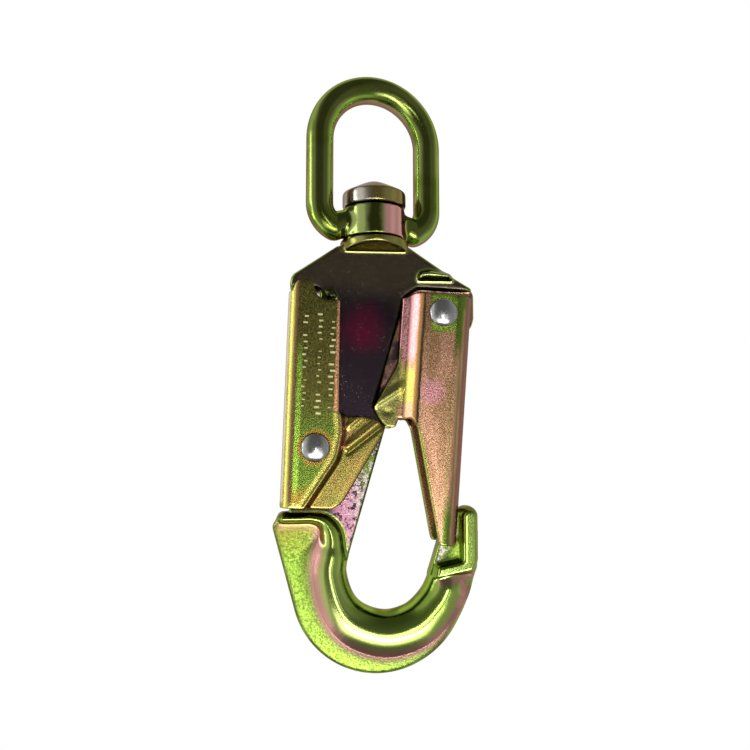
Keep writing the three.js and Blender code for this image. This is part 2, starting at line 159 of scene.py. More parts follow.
def line_distance(points, x, z):
    """Distance in the XZ plane from (x, z) to an open line through points."""
    x, z = np.broadcast_arrays(x, z)
    x, z = x[..., None], z[..., None]
    a, d = points[:-1], np.diff(points, axis=0)
    t = np.clip(((x - a[:, 0]) * d[:, 0] + (z - a[:, 1]) * d[:, 1]) / (d**2).sum(1), 0, 1)
    return np.sqrt(((x - a[:, 0] - t * d[:, 0]) ** 2 + (z - a[:, 1] - t * d[:, 1]) ** 2).min(-1))


# ---------------------------------------------------------------- distance fields


def prism(side, across, level, edge):
    """Field of an outline carried to a level on both sides, with its edges rounded.

    It is the distance to the quarter circle of radius edge between the side and the face.
    """
    u = side + edge
    v = np.abs(across) - level + edge
    outside = np.hypot(np.maximum(u, 0), np.maximum(v, 0))
    return np.minimum(np.maximum(u, v), 0) + outside - edge


def oval_prism(side, across, level, reach):
    """Field of an outline whose border is a quarter ellipse, reach wide and level high."""
    u = np.maximum(side / reach + 1, 0)
    return (np.hypot(u, across / level) - 1) * reach


def along_line(line, x, z):
    """Distance to a line of (x, z, reach) over the reach there, and that reach.

    Of all the line's pieces, the one counts whose distance less its reach is the smallest.
    """
    x, z = np.broadcast_arrays(x, z)
    start, step = line[:-1], np.diff(line, axis=0)
    run = (step[:, :2] ** 2).sum(1)
    beside = (x[..., None] - start[:, 0], z[..., None] - start[:, 1])
    t = np.clip((beside[0] * step[:, 0] + beside[1] * step[:, 1]) / run, 0, 1)
    reach = start[:, 2] + t * step[:, 2]
    away = np.hypot(beside[0] - t * step[:, 0], beside[1] - t * step[:, 1])
    best = (away - reach).argmin(-1)[..., None]
    reach = np.take_along_axis(reach, best, -1)[..., 0]
    return np.take_along_axis(away, best, -1)[..., 0] / reach, reach


def blend(a, b, width):
    """Union of two fields with a fillet: the smaller one, less width/4 where they are equal."""
    near = np.maximum(width - np.abs(a - b), 0) / width
    return np.minimum(a, b) - near * near * width / 4


def carve(a, b, width):
    """Field a with field b cut out of it and the cut's rim rounded."""
    return -blend(-a, b, width)


def smoothstep(low, high, value):
    """0 below low, 1 above high, and t*t*(3-2t) between them."""
    t = np.clip((value - low) / (high - low), 0, 1)
    return t * t * (3 - 2 * t)


# ---------------------------------------------------------------- surfaces


def lattice(low, high, step):
    """Coordinates of a regular lattice along X, Y and Z, shaped to broadcast together."""
    axes = [np.arange(a, b + step, step) for a, b in zip(low, high)]
    return axes[0][:, None, None], axes[1][None, :, None], axes[2][None, None, :]


def net(field):
    """Vertices and quads of the zero surface of a field, in lattice steps.

    Each cell that the surface crosses gets one vertex, at the mean of the places where the
    surface cuts the cell's twelve sides. Each lattice side that is cut gets one quad between
    the four cells round it.
    """
    inside = field < 0
    offsets = np.array([(i, j, k) for i in (0, 1) for j in (0, 1) for k in (0, 1)])
    corners = np.stack(
        [inside[i : i - 1 or None, j : j - 1 or None, k : k - 1 or None] for i, j, k in offsets]
    )
    active = corners.any(0) & ~corners.all(0)
    cells = np.argwhere(active)
    number = np.full(active.shape, -1)
    number[active] = np.arange(len(cells))
    places = cells[:, None, :] + offsets
    values = field[places[..., 0], places[..., 1], places[..., 2]]
    pairs = [(a, b) for a in range(8) for b in range(a + 1, 8)]
    sides = np.array([(a, b) for a, b in pairs if abs(offsets[a] - offsets[b]).sum() == 1])
    first, second = values[:, sides[:, 0]], values[:, sides[:, 1]]
    cut = (first < 0) != (second < 0)
    t = np.where(cut, first / np.where(first == second, 1, first - second), 0)
    ends = offsets[sides[:, 0]] + t[..., None] * (offsets[sides[:, 1]] - offsets[sides[:, 0]])
    vertices = cells + (ends * cut[..., None]).sum(1) / cut.sum(1)[:, None]
    quads = []
    for axis in range(3):
        u, v = (axis + 1) % 3, (axis + 2) % 3
        start = np.take(inside, range(inside.shape[axis] - 1), axis)
        end = np.take(inside, range(1, inside.shape[axis]), axis)
        crossed = np.argwhere(start != end)
        crossed = crossed[(crossed[:, u] > 0) & (crossed[:, v] > 0)]
        outward = start[tuple(crossed.T)]
        ring = []
        for du, dv in ((1, 1), (0, 1), (0, 0), (1, 0)):
            cell = crossed.copy()
            cell[:, u] -= du
            cell[:, v] -= dv
            ring.append(number[tuple(cell.T)])
        ring = np.stack(ring, 1)
        quads.append(np.where(outward[:, None], ring, ring[:, ::-1]))
    return vertices, np.concatenate(quads)


def read_smooth(field, points):
    """Value and gradient at points of the cubic B-spline through a lattice's values."""
    base = np.floor(points).astype(int)
    t = points - base
    weight = np.stack(
        [(1 - t) ** 3, 3 * t**3 - 6 * t**2 + 4, -3 * t**3 + 3 * t**2 + 3 * t + 1, t**3], 1
    ) / 6
    slope = np.stack([-((1 - t) ** 2), 3 * t**2 - 4 * t, -3 * t**2 + 2 * t + 1, t**2], 1) / 2
    reach = np.arange(-1, 3)
    limit = np.array(field.shape) - 1
    i, j, k = [np.clip(base[:, n, None] + reach, 0, limit[n]) for n in range(3)]
    block = field[i[:, :, None, None], j[:, None, :, None], k[:, None, None, :]]

    def total(a, b, c):
        sums = (a[..., 0], b[..., 1], c[..., 2])
        return np.einsum("nijk,ni,nj,nk->n", block, *sums, optimize=True)

    value = total(weight, weight, weight)
    along_x, along_y = total(slope, weight, weight), total(weight, slope, weight)
    return value, np.stack([along_x, along_y, total(weight, weight, slope)], 1)


def surface(field, axes):
    """Vertices, quads and normals in millimetres of the zero surface of a field.

    The net's vertices are moved along the gradient onto the smooth surface, by the value over
    the gradient's length, three times over.
    """
    points, quads = net(field)
    for _ in range(3):
        value, gradient = read_smooth(field, points)
        push = gradient * (value / np.maximum((gradient**2).sum(1), 1e-6))[:, None]
        points = points - np.clip(push, -0.5, 0.5)
    _, gradient = read_smooth(field, points)
    normals = gradient / np.linalg.norm(gradient, axis=1)[:, None]
    origin = np.array([a.ravel()[0] for a in axes])
    step = axes[0].ravel()[1] - axes[0].ravel()[0]
    return origin + points * step, quads, normals


def turn(points, tilt, pivot):
    """Points turned about Y by tilt in radians, as a body standing at pivot is."""
    x, y, z = points.T
    c, s = math.cos(tilt), math.sin(tilt)
    return np.stack([x * c + z * s + pivot[0], y + pivot[1], -x * s + z * c + pivot[2]], 1)


def make_piece(name, vertices, faces, normals=None, masks=None):
    """A mesh object from arrays in millimetres, with smooth normals and named masks."""
    mesh = bpy.data.meshes.new(name)
    lowered = vertices - np.array([0, 0, CROWN])
    mesh.from_pydata((lowered * MM).tolist(), [], faces.tolist())
    for mask, values in (masks or {}).items():
        layer = mesh.attributes.new(mask, "FLOAT", "POINT")
        layer.data.foreach_set("value", values.astype(np.float32))
    mesh.shade_smooth()
    if normals is not None:
        mesh.normals_split_custom_set_from_vertices(normals.tolist())
    piece = bpy.data.objects.new(name, mesh)
    bpy.context.scene.collection.objects.link(piece)
    return piece


def place(piece, body, slot, material, *nodes):
    """Gives a piece its material and lets it stand in for CAD nodes."""
    piece.data.materials.append(material)
    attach(piece, body)
    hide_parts(*nodes)
    return piece


# ---------------------------------------------------------------- properties


class SwivelSizes(bpy.types.PropertyGroup):
    """Eye, boss, post and head of the swivel."""

    bar: length("Bar radius", "Radius of the eye's round bar", 3.7)
    half_width: length("Half width", "From the axis to the middle of a leg", 15.5)
    arm_height: length("Arm depth", "From the datum down to the middle of the arms", 32.8)
    span: length("Arm span", "From the axis to where the arms start to drop", 9.5)
    foot: length("Foot depth", "From the datum down to the middle of the lower corners", 34.5)
    corner: length("Corner radius", "Radius of the eye's lower corners", 7)
    turn: angle("Turn", "Angle that the eye stands turned by on the swivel", 14)
    boss: length("Boss radius", "Outside radius of the eye's boss", 8.4)
    bore: length("Bore radius", "Radius of the bore in the boss", 5.0)
    post: length("Post radius", "Radius of the hook's post", 4.6)
    head: length("Head radius", "Radius of the post's upset head", 8.7)
    collar: length("Collar radius", "Radius of the collar under the eye", 9.3)


class ForgingSizes(bpy.types.PropertyGroup):
    """Half thicknesses and edge roundings of the hook's forging."""

    plate: length("Plate level", "Half thickness of the plate and spine", 4)
    recess: length("Recess level", "Half thickness where the gate straddles the body", 2.5)
    flange: length("Flange level", "Half thickness of the rim round the bowl", 3.25)
    bead: length("Bead level", "Half thickness of the bead round the bowl", 6.2)
    nose: length("Nose level", "Half thickness of the nose's rim and lug", 6)
    edge: length("Edge radius", "Rounding of the plate's edges", 0.9)
    fillet: length("Fillet", "Width of the blend between the bead and the flange", 5)


class SheetSizes(bpy.types.PropertyGroup):
    """Pressed sheet of the gate and the lock lever, and their rivets and springs."""

    thickness: length("Sheet", "Thickness of the pressed sheet", 1.5)
    raised: length("Raised level", "Outside of the raised side walls", 8.3)
    low: length("Low level", "Outside of the lobes and tongues", 5.8)
    edge: length("Edge radius", "Rounding of the sheet's cut edges", 0.5)
    gate_tilt: angle("Gate tilt", "Lean of the gate's foot towards the spine", 4.2)
    lever_tilt: angle("Lever tilt", "Lean of the lever's foot towards the outside", 1.9)
    rivet_head: length("Rivet head", "Radius of the rivets' heads", 3.8)
    rivet_shank: length("Rivet shank", "Radius of the rivets' shanks", 2.2)
    wire: length("Wire radius", "Radius of the torsion springs' wire", 0.5)
    coil: length("Coil radius", "Radius of the torsion springs' coils", 4.2)


class PlatingLook(bpy.types.PropertyGroup):
    """Colours of the yellow zinc plating and of the plain steel."""

    # Lime is also the eye's painted highlight band and the painted highlight along the forging's edges.
    lime: colour("Lime", "Bright green bloom of the plating", (0.31, 0.49, 0.06))
    # Moss is also the painted shade on the bead's upward-facing side, and shares the painted edge highlight
    # with lime.
    moss: colour("Moss", "Middle green of the plating", (0.13, 0.2, 0.03))
    # Olive is also the painted shade where the eye faces the front, and the boss's painted dark stripe.
    olive: colour("Olive", "Dark green of the plating", (0.075, 0.09, 0.016))
    sage: colour("Sage", "Greyer green of the eye", (0.3, 0.36, 0.12))
    # Painted highlights and glints: the lever's rolled back, the raised marks and the flange's specks.
    highlight_cream: colour("Cream", "Worn tops and sparkle of the plating", (0.9, 0.82, 0.6))
    # Straw is also the painted highlight on the lever's rolled back and on the raised marks.
    straw: colour("Straw", "Yellow bloom of the plating", (0.5, 0.45, 0.1))
    olive_gold: colour("Olive gold", "Yellow green of the collar and the gate's lobe", (0.22, 0.21, 0.06))
    # Rose is also the painted reflection on the right side of the eye's boss.
    rose: colour("Rose", "Pink bloom of the plating", (0.72, 0.33, 0.33))
    salmon: colour("Salmon", "Paler pink of the gate", (0.62, 0.33, 0.2))
    # Rosewood is also the painted reflection at the eye's grazing edges.
    rosewood: colour("Rosewood", "Brown pink of edges and fillets", (0.3, 0.16, 0.115))
    brown: colour("Brown", "Brown bloom of the plating", (0.42, 0.235, 0.12))
    tan: colour("Tan", "Orange brown of the gate's roll and the lever's tongue", (0.36, 0.19, 0.065))
    amber: colour("Amber", "Orange bloom of the plating", (0.34, 0.2, 0.035))
    copper: colour("Copper", "Cut edges of the lever", (0.72, 0.36, 0.18))
    bronze: colour("Bronze", "Brown olive of the lever's flat", (0.2, 0.165, 0.045))
    plum: colour("Plum", "Dark aubergine of the plate's faces", (0.045, 0.026, 0.036))
    # Ink is also the painted shade at the top of the web and the painted shadow between the lever's foot and
    # the bead.
    ink: colour("Ink", "Darkest parts of the plate's faces", (0.018, 0.016, 0.020))
    # Umber is also the painted shade along the gate's joggle.
    umber: colour("Umber", "Dark brown at the top of the plate", (0.105, 0.082, 0.05))
    magenta: colour("Magenta", "Red patch of the plate's faces", (0.15, 0.012, 0.04))
    mauve: colour("Mauve", "Pink grain at the foot of the web", (0.42, 0.20, 0.27))
    lilac: colour("Lilac", "Purple grain of the web", (0.36, 0.17, 0.28))
    pewter: colour("Pewter", "Grey steel under thin plating", (0.42, 0.38, 0.33))
    silver: colour("Silver", "Thin plating that shows the steel", (0.8, 0.78, 0.75))
    grazing: colour("Grazing tint", "Tint of the plating at grazing angles", (0.55, 0.42, 0.4))
    steel: colour("Steel", "Plain steel of the rivets", (0.38, 0.38, 0.37))
    wire: colour("Wire", "Drawn wire of the springs", (0.26, 0.26, 0.25))


class StageLook(bpy.types.PropertyGroup):
    """Floor, lights and camera."""

    white: colour("White", "Floor and background", (1.0, 1.0, 1.0))
    dim: colour("Dim", "What the plating reflects from behind the camera", (0.20, 0.20, 0.20))
    mid: colour("Mid", "What the plating reflects from the room's sides", (0.5, 0.5, 0.5))
    behind: colour("Behind", "What the plating reflects from behind the hook", (0.85, 0.85, 0.85))
    floor_drop: length("Floor", "From the origin down to the floor", 175)
    distance: length("Camera distance", "From the camera to the hook", 225)
    frame_width: length("Frame width", "Width that the frame covers at the hook", 202.5)
    aim: length("Aim", "From the origin down to the middle of the frame", 75.6)
    azimuth: angle("Azimuth", "Turn of the camera round the hook", -5.0)
    elevation: angle("Elevation", "Height of the camera over the horizon", -5.2)


# ---------------------------------------------------------------- forging

GATE_HINGE = (17.6, 0.0, -57.8)
LEVER_HINGE = (-15.8, 0.0, -93.2)
BODY_HOLE = 3.7  # radius in the forging, for the bushings
SHEET_HOLE = 2.6  # radius in the sheet, for the rivets
SPRING_HOLE = (-20.0, -101.3, 0.9)

BOSS_HEIGHTS = (-36.6, -28.2)
HEAD_HEIGHTS = (-27.8, -20.2)
HEAD_SLOPE = 0.56
HEAD_TIP = 2.4
COLLAR_HEIGHTS = (-37.0, -38.7, -40.7)

BOWL_CENTRE = (3.2, -125.2)
BOWL_RADIUS = 10.9
HEEL_CENTRE = (0.7, -129.0)
HEEL_RADIUS = 22.4

BODY_OUTLINE = [
    (-10.1, -39.1, 0.8),
    (-22.4, -47.3, 2.5),
    (-22.9, -50.5, 0.6),
    (-14.4, -50.8, 1.5),
    (-22.2, -93, 6),
    (-22.4, -111.4),
    (-12.5, -111.6),
    (-10.5, -122),
    (-7.2, -122.4),
    (-6.5, -119.7, 4),
    (2.9, -87.3, 1.8),
    (0.6, -83.2, 0.5),
    (17.8, -70.9, 3),
    (22.9, -61.5, 0.8),
    (26.2, -61, 0.8),
    (27.05, -58.5, 2),
    (27.05, -50.7, 3),
    (21, -47.2, 12),
    (9.1, -39.1, 0.8),
]

RECESS_OUTLINE = [
    (11.4, -50.4, 3),
    (7.84, -52.9, 3),
    (-0.25, -81.9, 1.2),
    (2, -84.5),
    (30, -84.5),
    (30, -51.2),
]

FLANGE_OUTLINE = [
    (-25.2, -110.9, 1.8),
    (-26.9, -113.4, 2),
    *arc(HEEL_CENTRE, HEEL_RADIUS, 194, 336, 60),
    (27.2, -124.8, 3),
    (27.5, -115),
    (22.5, -115),
    *arc(BOWL_CENTRE, BOWL_RADIUS + 2, 0, -180, 30),
    (-9.5, -118),
    (-13.5, -110.9, 3),
]

BEAD_LINE = [
    (-24.0, -111.45, 1.65),
    (-20.0, -111.45, 1.65),
    (-16.2, -111.45, 1.75),
    (-13.1, -112.6, 2.5),
    (-11.4, -116.0, 3.7),
    (-11.4, -121.0, 4.1),
    (-11.9, -126.0, 4.2),
    (-9.5, -134.2, 4.6),
    (-4.9, -139.2, 5.2),
    (3.2, -141.5, 5.4),
    (11.3, -139.2, 5.3),
    (16.6, -134.0, 5.0),
    (18.9, -130.0, 4.7),
]

NOSE_OUTLINE = [
    (22, -108.5, 2.6),
    (27.5, -108.5, 2.7),
    (27.5, -122.6, 3),
    (26.2, -125.9, 1.4),
    (14.7, -128.2, 1.4),
    (15.5, -123.4, 1.4),
    (22, -122),
]

NOSE_CREASE = [(17.0, -128.2), (20.4, -127.4), (28.0, -125.9)]

NOSE_TONGUE_OUTLINE = [
    (14.3, -126.5),
    (16.4, -119.8),
    (18.5, -112.8, 2),
    (21, -110.3, 1.5),
    (24, -110.3),
    (24, -126.5),
]

GATE_BUMP_OUTLINE = [
    (10.4, -48.9, 1),
    (11.4, -45.6, 2),
    (14.4, -44.9, 2),
    (20.6, -45.9, 1.8),
    (22.1, -48.9, 1),
]

LEVER_BUMP_OUTLINE = [
    (-13.9, -51.2, 0.7),
    (-11.1, -50.6, 0.8),
    (-9.2, -53.7, 0.8),
    (-12.9, -54.3, 0.8),
]


def eye_field(sizes, x, y, z):
    """Field of the eye: a bar round a D-shaped line, blended into a bored boss."""
    half, corner = sizes.half_width / MM, sizes.corner / MM
    crown = CROWN + sizes.bar / MM - half
    arm, foot = -sizes.arm_height / MM, -sizes.foot / MM
    span = sizes.span / MM
    centre = (half - corner, foot + corner)
    right = [(span, arm, 4), *arc(centre, corner, -65, 0, 12), *arc((0, crown), half, 0, 90, 30)]
    left = [(-corner_x, *rest) for corner_x, *rest in reversed(right[:-1])]
    ring = np.hypot(outline_distance(rounded([*right, *left]), x, z), y) - sizes.bar / MM
    radius = np.hypot(x, y)
    middle, tall = sum(BOSS_HEIGHTS) / 2, (BOSS_HEIGHTS[1] - BOSS_HEIGHTS[0]) / 2
    boss = prism(radius - sizes.boss / MM, z - middle, tall, 0.6)
    bore = np.maximum(radius - sizes.bore / MM, z - BOSS_HEIGHTS[1] - 3)
    return carve(blend(ring, boss, 1.6), bore, 0.3)


def collar_field(sizes, x, y, z):
    """Field of the collar: a disc whose underside slopes in to the plate's faces."""
    top, rim, foot = COLLAR_HEIGHTS
    radius = np.hypot(x, y)
    disc = prism(radius - sizes.collar / MM, z - (top + foot - 2) / 2, (top - foot + 2) / 2, 0.7)
    slope = (rim - foot) / 6
    under = (foot - z + slope * (np.abs(y) - 4)) / math.hypot(1, slope)
    return -blend(-disc, -under, 0.6)


def post_field(sizes, x, y, z):
    """Field of the post through the boss and of the head that is upset on its end.

    The head is a disc under a low cone whose tip is a hyperbola of radius HEAD_TIP.
    """
    bottom, top = HEAD_HEIGHTS
    radius = np.hypot(x, y)
    disc = prism(radius - sizes.head / MM, z - (bottom + top) / 2, (top - bottom) / 2, 0.5)
    cone = z - top + HEAD_SLOPE * (np.hypot(radius, HEAD_TIP) - HEAD_TIP)
    head = -blend(-disc, -cone / math.hypot(1, HEAD_SLOPE), 0.5)
    post = np.maximum(radius - sizes.post / MM, np.abs(z + 32) - 5.5)
    return blend(head, post, 0.3)


def body_field(sizes, swivel, x, y, z):
    """Field of the hook's forging, its plate, spine, bowl, nose, collar, post and head."""
    level = sizes.plate / MM
    side = shape_distance(BODY_OUTLINE, x, z)
    recess = shape_distance(RECESS_OUTLINE, x, z)
    plate = prism(side, y, level, sizes.edge / MM)
    pocket = np.maximum(recess, sizes.recess / MM - np.abs(y))
    plate = carve(plate, pocket, 0.9)
    flange = prism(shape_distance(FLANGE_OUTLINE, x, z), y, sizes.flange / MM, 1.3)
    off_line, reach = along_line(smooth_path(BEAD_LINE, 90), x, z)
    bead = (np.hypot(off_line, y / (sizes.bead / MM)) - 1) * reach
    nose = oval_prism(shape_distance(NOSE_OUTLINE, x, z), y, sizes.nose / MM, 1.5)
    tongue = prism(shape_distance(NOSE_TONGUE_OUTLINE, x, z), y, 3, 0.8)
    bump = oval_prism(shape_distance(GATE_BUMP_OUTLINE, x, z), y, 6.4, 2.0)
    small = oval_prism(shape_distance(LEVER_BUMP_OUTLINE, x, z), y, 5.2, 1.0)
    field = blend(plate, bump, 0.5)
    field = blend(field, small, 0.5)
    widening = 0.12 + 0.88 * smoothstep(-115.5, -121.5, z)
    ring = blend(bead, flange, sizes.fillet / MM * widening)
    ring = blend(ring, tongue, 0.6)
    ring = blend(ring, nose, 0.5)
    field = blend(field, ring, 0.6)
    field = blend(field, collar_field(swivel, x, y, z), 0.4)
    field = np.minimum(field, post_field(swivel, x, y, z))
    for hole_x, hole_z, radius in (
        (GATE_HINGE[0], GATE_HINGE[2], BODY_HOLE),
        (LEVER_HINGE[0], LEVER_HINGE[2], BODY_HOLE),
        SPRING_HOLE,
    ):
        field = carve(field, np.hypot(x - hole_x, z - hole_z) - radius, 0.3)
    return field


# ---------------------------------------------------------------- pressed channels

GATE = {"back": 7.95, "bend": 4.0}
GATE_EAR_SLOT = (-3.7, 4.3)
GATE_NOSE_SLOT = (-49.5, 3.7)
GATE_JOGGLE = (-8.3, -4.9)

GATE_OUTLINE = [
    (-10.6, 3.6),
    (-9.1, 4, 1),
    (-7.6, 5.2, 1.5),
    (8.95, 5.2),
    (8.95, -60.5),
    (3.2, -60.5, 1.2),
    (2.7, -59, 3),
    (-4.7, -30.4, 2),
    (-6.2, -28.3, 1.2),
    (-10.6, -28.3),
]

GATE_LOBE_OUTLINE = [
    (-7.4, -10.5),
    (-8.4, -10.5),
    (-10.9, -15, 6),
    (-16.4, -26.2, 0.9),
    (-14.3, -29.5, 1.2),
    (-12.5, -31, 1.2),
    (-10.2, -31, 1),
    (-9.4, -28.3, 0.3),
    (-7.4, -28.3),
]

LEVER = {"back": -8.56, "bend": 3.0}
LEVER_SHOULDER_SLOT = (39.4, 5.2)

# Height and half width of the tongue's rib, groove and fold, and the line each runs along
LEVER_FOLDS = (
    (0.55, 0.7, (17.0, 8.0), (8.2, 0.6)),
    (-0.45, 0.55, (17.4, 6.1), (8.6, -1.2)),
    (0.45, 0.6, (13.2, 10.4), (8.0, 5.6)),
)
LEVER_EDGE = (0.35, 1.1, (18.6, 4.4), (8.0, -14.2))  # the same of the tongue's turned-down edge

LEVER_CREST = [(5.7, 9.3, 0.8), (6.3, 4, 5), (5.2, -2.5, 6), (-2.9, -15.7)]
LEVER_RAISED = [(9, 60), *LEVER_CREST, (-30, -15.7), (-30, 60)]

LEVER_OUTLINE = [
    (-9.56, 40.8),
    (-7.6, 40.8, 0.5),
    (-6.5, 43.6, 1.5),
    (-2.4, 43.6, 0.6),
    (-0.9, 38.7, 3.5),
    (5, 38.7, 0.4),
    *LEVER_CREST,
    (-9.56, -15.7),
]

LEVER_TONGUE_OUTLINE = [
    (4.6, 9.3, 0.5),
    (7.2, 9.3, 0.6),
    (7.9, 8.3),
    (12.5, 8.6, 4),
    (15.7, 8, 1.2),
    (17.3, 6.6, 1),
    (17.9, 4.6, 1),
    (7.8, -13.8, 4),
    (5, -15.7, 1),
    (-3.5, -15.7),
]


def sheet(level, step, across, thickness):
    """Field of a sheet whose middle stands at a level that changes over a lattice of one step.

    The distance from the level is divided by the length of the slanted normal, which keeps
    the sheet as thick where it slopes as where it is flat.
    """
    along_x, along_z = np.gradient(level[:, 0, :], step)
    steep = np.sqrt(1 + along_x**2 + along_z**2)[:, None, :]
    return np.abs(np.abs(across) - level) / steep - thickness / 2


def rolled_back(back, bend, level, x, across, thickness):
    """Field of a channel's back, which rolls into its two side walls.

    The middle of the sheet runs along x = back, then round a quarter circle, then along the
    wall's level.
    """
    side = math.copysign(1, back)
    radius = bend - thickness / 2
    line = [
        (abs(back) - thickness / 2, -20.0),
        *arc((abs(back) - bend, level - radius), radius, 0, 90, 24),
        (-40.0, level),
    ]
    return line_distance(np.array(line), side * x, np.abs(across)) - thickness / 2


def gate_field(sizes, x, y, z):
    """Field of the gate in its hinge's own frame."""
    thickness = sizes.thickness / MM
    raised, low = sizes.raised / MM - thickness / 2, sizes.low / MM - thickness / 2
    step = float(x.ravel()[1] - x.ravel()[0])
    rise = smoothstep(GATE_JOGGLE[0] - 0.5, GATE_JOGGLE[1] + 0.5, x + 0 * z)
    level = low + (raised - low) * rise
    crease = line_distance(np.array([(-16.6, -25.6), (-8.6, -19.6)]), x, z)
    lobe = smoothstep(-8.2, -9.6, x + 0 * z)
    level = level + lobe * 0.5 * np.exp(-((crease / 0.8) ** 2))
    dent = np.exp(-(((x + 12.6) / 1.3) ** 2) - ((z + 27.0) / 0.9) ** 2)
    level = level - lobe * 0.15 * dent
    wall = sheet(level, step, y, thickness)
    rolled = rolled_back(GATE["back"], GATE["bend"], raised, x, y, thickness)
    pressed = np.where(x > 0, rolled, wall)
    side = shape_distance(GATE_OUTLINE, x, z)
    side = blend(side, shape_distance(GATE_LOBE_OUTLINE, x, z), 0.6)
    field = -blend(-pressed, -side, sizes.edge / MM)
    ear = np.maximum(np.maximum(GATE_EAR_SLOT[0] - z, np.abs(y) - GATE_EAR_SLOT[1]), 4.5 - x)
    field = carve(field, ear, 0.4)
    nose = np.maximum(np.maximum(z - GATE_NOSE_SLOT[0], np.abs(y) - GATE_NOSE_SLOT[1]), 4.5 - x)
    field = carve(field, nose, 0.4)
    return carve(field, np.hypot(x, z) - SHEET_HOLE, 0.3)


def lever_level(low, raised, x, z):
    """Level of the lever's side wall: raised inside the crest, low on the ribbed tongue."""
    crest = shape_distance(LEVER_RAISED, x, z)
    level = raised - (raised - low) * smoothstep(-0.3, 1.7, crest)
    tongue = smoothstep(1.4, 2.6, crest)
    for height, width, *line in LEVER_FOLDS:
        away = line_distance(np.array(line), x, z)
        level = level + tongue * height * np.exp(-((away / width) ** 2))
    drop, width, *line = LEVER_EDGE
    return level - drop * np.exp(-((line_distance(np.array(line), x, z) / width) ** 2))


def lever_field(sizes, x, y, z):
    """Field of the lock lever in its hinge's own frame."""
    thickness = sizes.thickness / MM
    raised, low = sizes.raised / MM - thickness / 2, sizes.low / MM - thickness / 2
    step = float(x.ravel()[1] - x.ravel()[0])
    wall = sheet(lever_level(low, raised, x, z), step, y, thickness)
    rolled = rolled_back(LEVER["back"], LEVER["bend"], raised, x, y, thickness)
    pressed = np.where(x < -4, rolled, wall)
    side = shape_distance(LEVER_OUTLINE, x, z)
    side = np.minimum(side, shape_distance(LEVER_TONGUE_OUTLINE, x, z))
    field = -blend(-pressed, -side, sizes.edge / MM)
    slot = np.maximum(LEVER_SHOULDER_SLOT[0] - z, np.abs(y) - LEVER_SHOULDER_SLOT[1])
    field = carve(field, np.maximum(slot, x + 5.4), 0.4)
    return carve(field, np.hypot(x, z) - SHEET_HOLE, 0.3)


def rivet_profile(sizes):
    """Radius and height of a rivet from its middle out to the top of its dome."""
    head, shank = sizes.rivet_head / MM, sizes.rivet_shank / MM
    seat = sizes.raised / MM + 0.3
    along = np.linspace(0, math.pi / 2, 14)
    dome = np.stack([head * np.cos(along), seat + 0.25 + 1.6 * np.sin(along)], 1)
    dome[-1, 0] = 0.0
    return np.array([(shank, 0.0), (shank, seat), (head - 0.15, seat), *dome])


def ring_quads(rings, sides):
    """Quads between each ring of vertices and the next."""
    ring = np.arange(sides)
    following = (ring + 1) % sides
    rows = np.arange(rings - 1)[:, None] * sides
    corners = [rows + ring, rows + sides + ring, rows + sides + following, rows + following]
    return np.stack(corners, -1).reshape(-1, 4)


def lathe(profile, centre, sides):
    """Vertices and quads of a profile of (radius, height) turned about Y, both ends closed."""
    around = np.linspace(0, 2 * math.pi, sides, endpoint=False)
    radius, height = profile[:, 0, None], profile[:, 1, None]
    x, z = radius * np.cos(around), radius * np.sin(around)
    points = np.stack([x, height + 0 * x, z], -1).reshape(-1, 3) + np.array(centre)
    return points, ring_quads(len(profile), sides)


def swept_wire(path, radius, sides=12):
    """Vertices and quads of a round wire along a path, closed at both ends by shrunk rings.

    Each ring stands square to the path. Its first direction is the last ring's, less its part
    along the path, so the wire does not twist.
    """
    tangent = np.gradient(path, axis=0)
    tangent /= np.linalg.norm(tangent, axis=1)[:, None]
    up = np.array([0.0, 1.0, 0.0])
    first = up - tangent * (tangent @ up)[:, None]
    first /= np.linalg.norm(first, axis=1)[:, None]
    second = np.cross(tangent, first)
    around = np.linspace(0, 2 * math.pi, sides, endpoint=False)
    c, s = np.cos(around)[None, :, None], np.sin(around)[None, :, None]
    ring = c * first[:, None] + s * second[:, None]
    reach = np.full(len(path), radius)
    reach[0] = reach[-1] = 1e-3
    points = (path[:, None] + ring * reach[:, None, None]).reshape(-1, 3)
    return points, ring_quads(len(path), sides)[:, [0, 3, 2, 1]]


def smooth_path(points, count):
    """Evenly many places along the Catmull-Rom curve through points."""
    points = np.array(points, float)
    padded = np.concatenate([[2 * points[0] - points[1]], points, [2 * points[-1] - points[-2]]])
    place_on = np.linspace(0, len(points) - 1 - 1e-6, count)
    base = place_on.astype(int)
    t = (place_on - base)[:, None]
    p0, p1, p2, p3 = padded[base], padded[base + 1], padded[base + 2], padded[base + 3]
    return 0.5 * (
        2 * p1
        + (p2 - p0) * t
        + (2 * p0 - 5 * p1 + 4 * p2 - p3) * t**2
        + (3 * p1 - p0 - 3 * p2 + p3) * t**3
    )


def spring_path(coil, inner, outer, start, turns, tip, last_leg):
    """Line of a torsion spring round its hinge: first leg, its turns, last leg."""
    wound = np.linspace(0, 1, 12 * turns + 1)
    around = np.radians(start) + 2 * math.pi * turns * wound
    winding = np.stack(
        [coil * np.cos(around), outer + (inner - outer) * wound, coil * np.sin(around)], 1
    )
    first = [
        (tip[0] + (winding[0, 0] - tip[0]) * k, outer, tip[1] + (winding[0, 2] - tip[1]) * k)
        for k in (0.0, 0.25, 0.5, 0.75)
    ]
    return smooth_path([*first, *winding, *last_leg], 360)


# ---------------------------------------------------------------- material helpers


MIX_INPUTS = (0, 6, 7)  # factor and the two colours among the Mix node's sockets
MIX_RESULT = 2


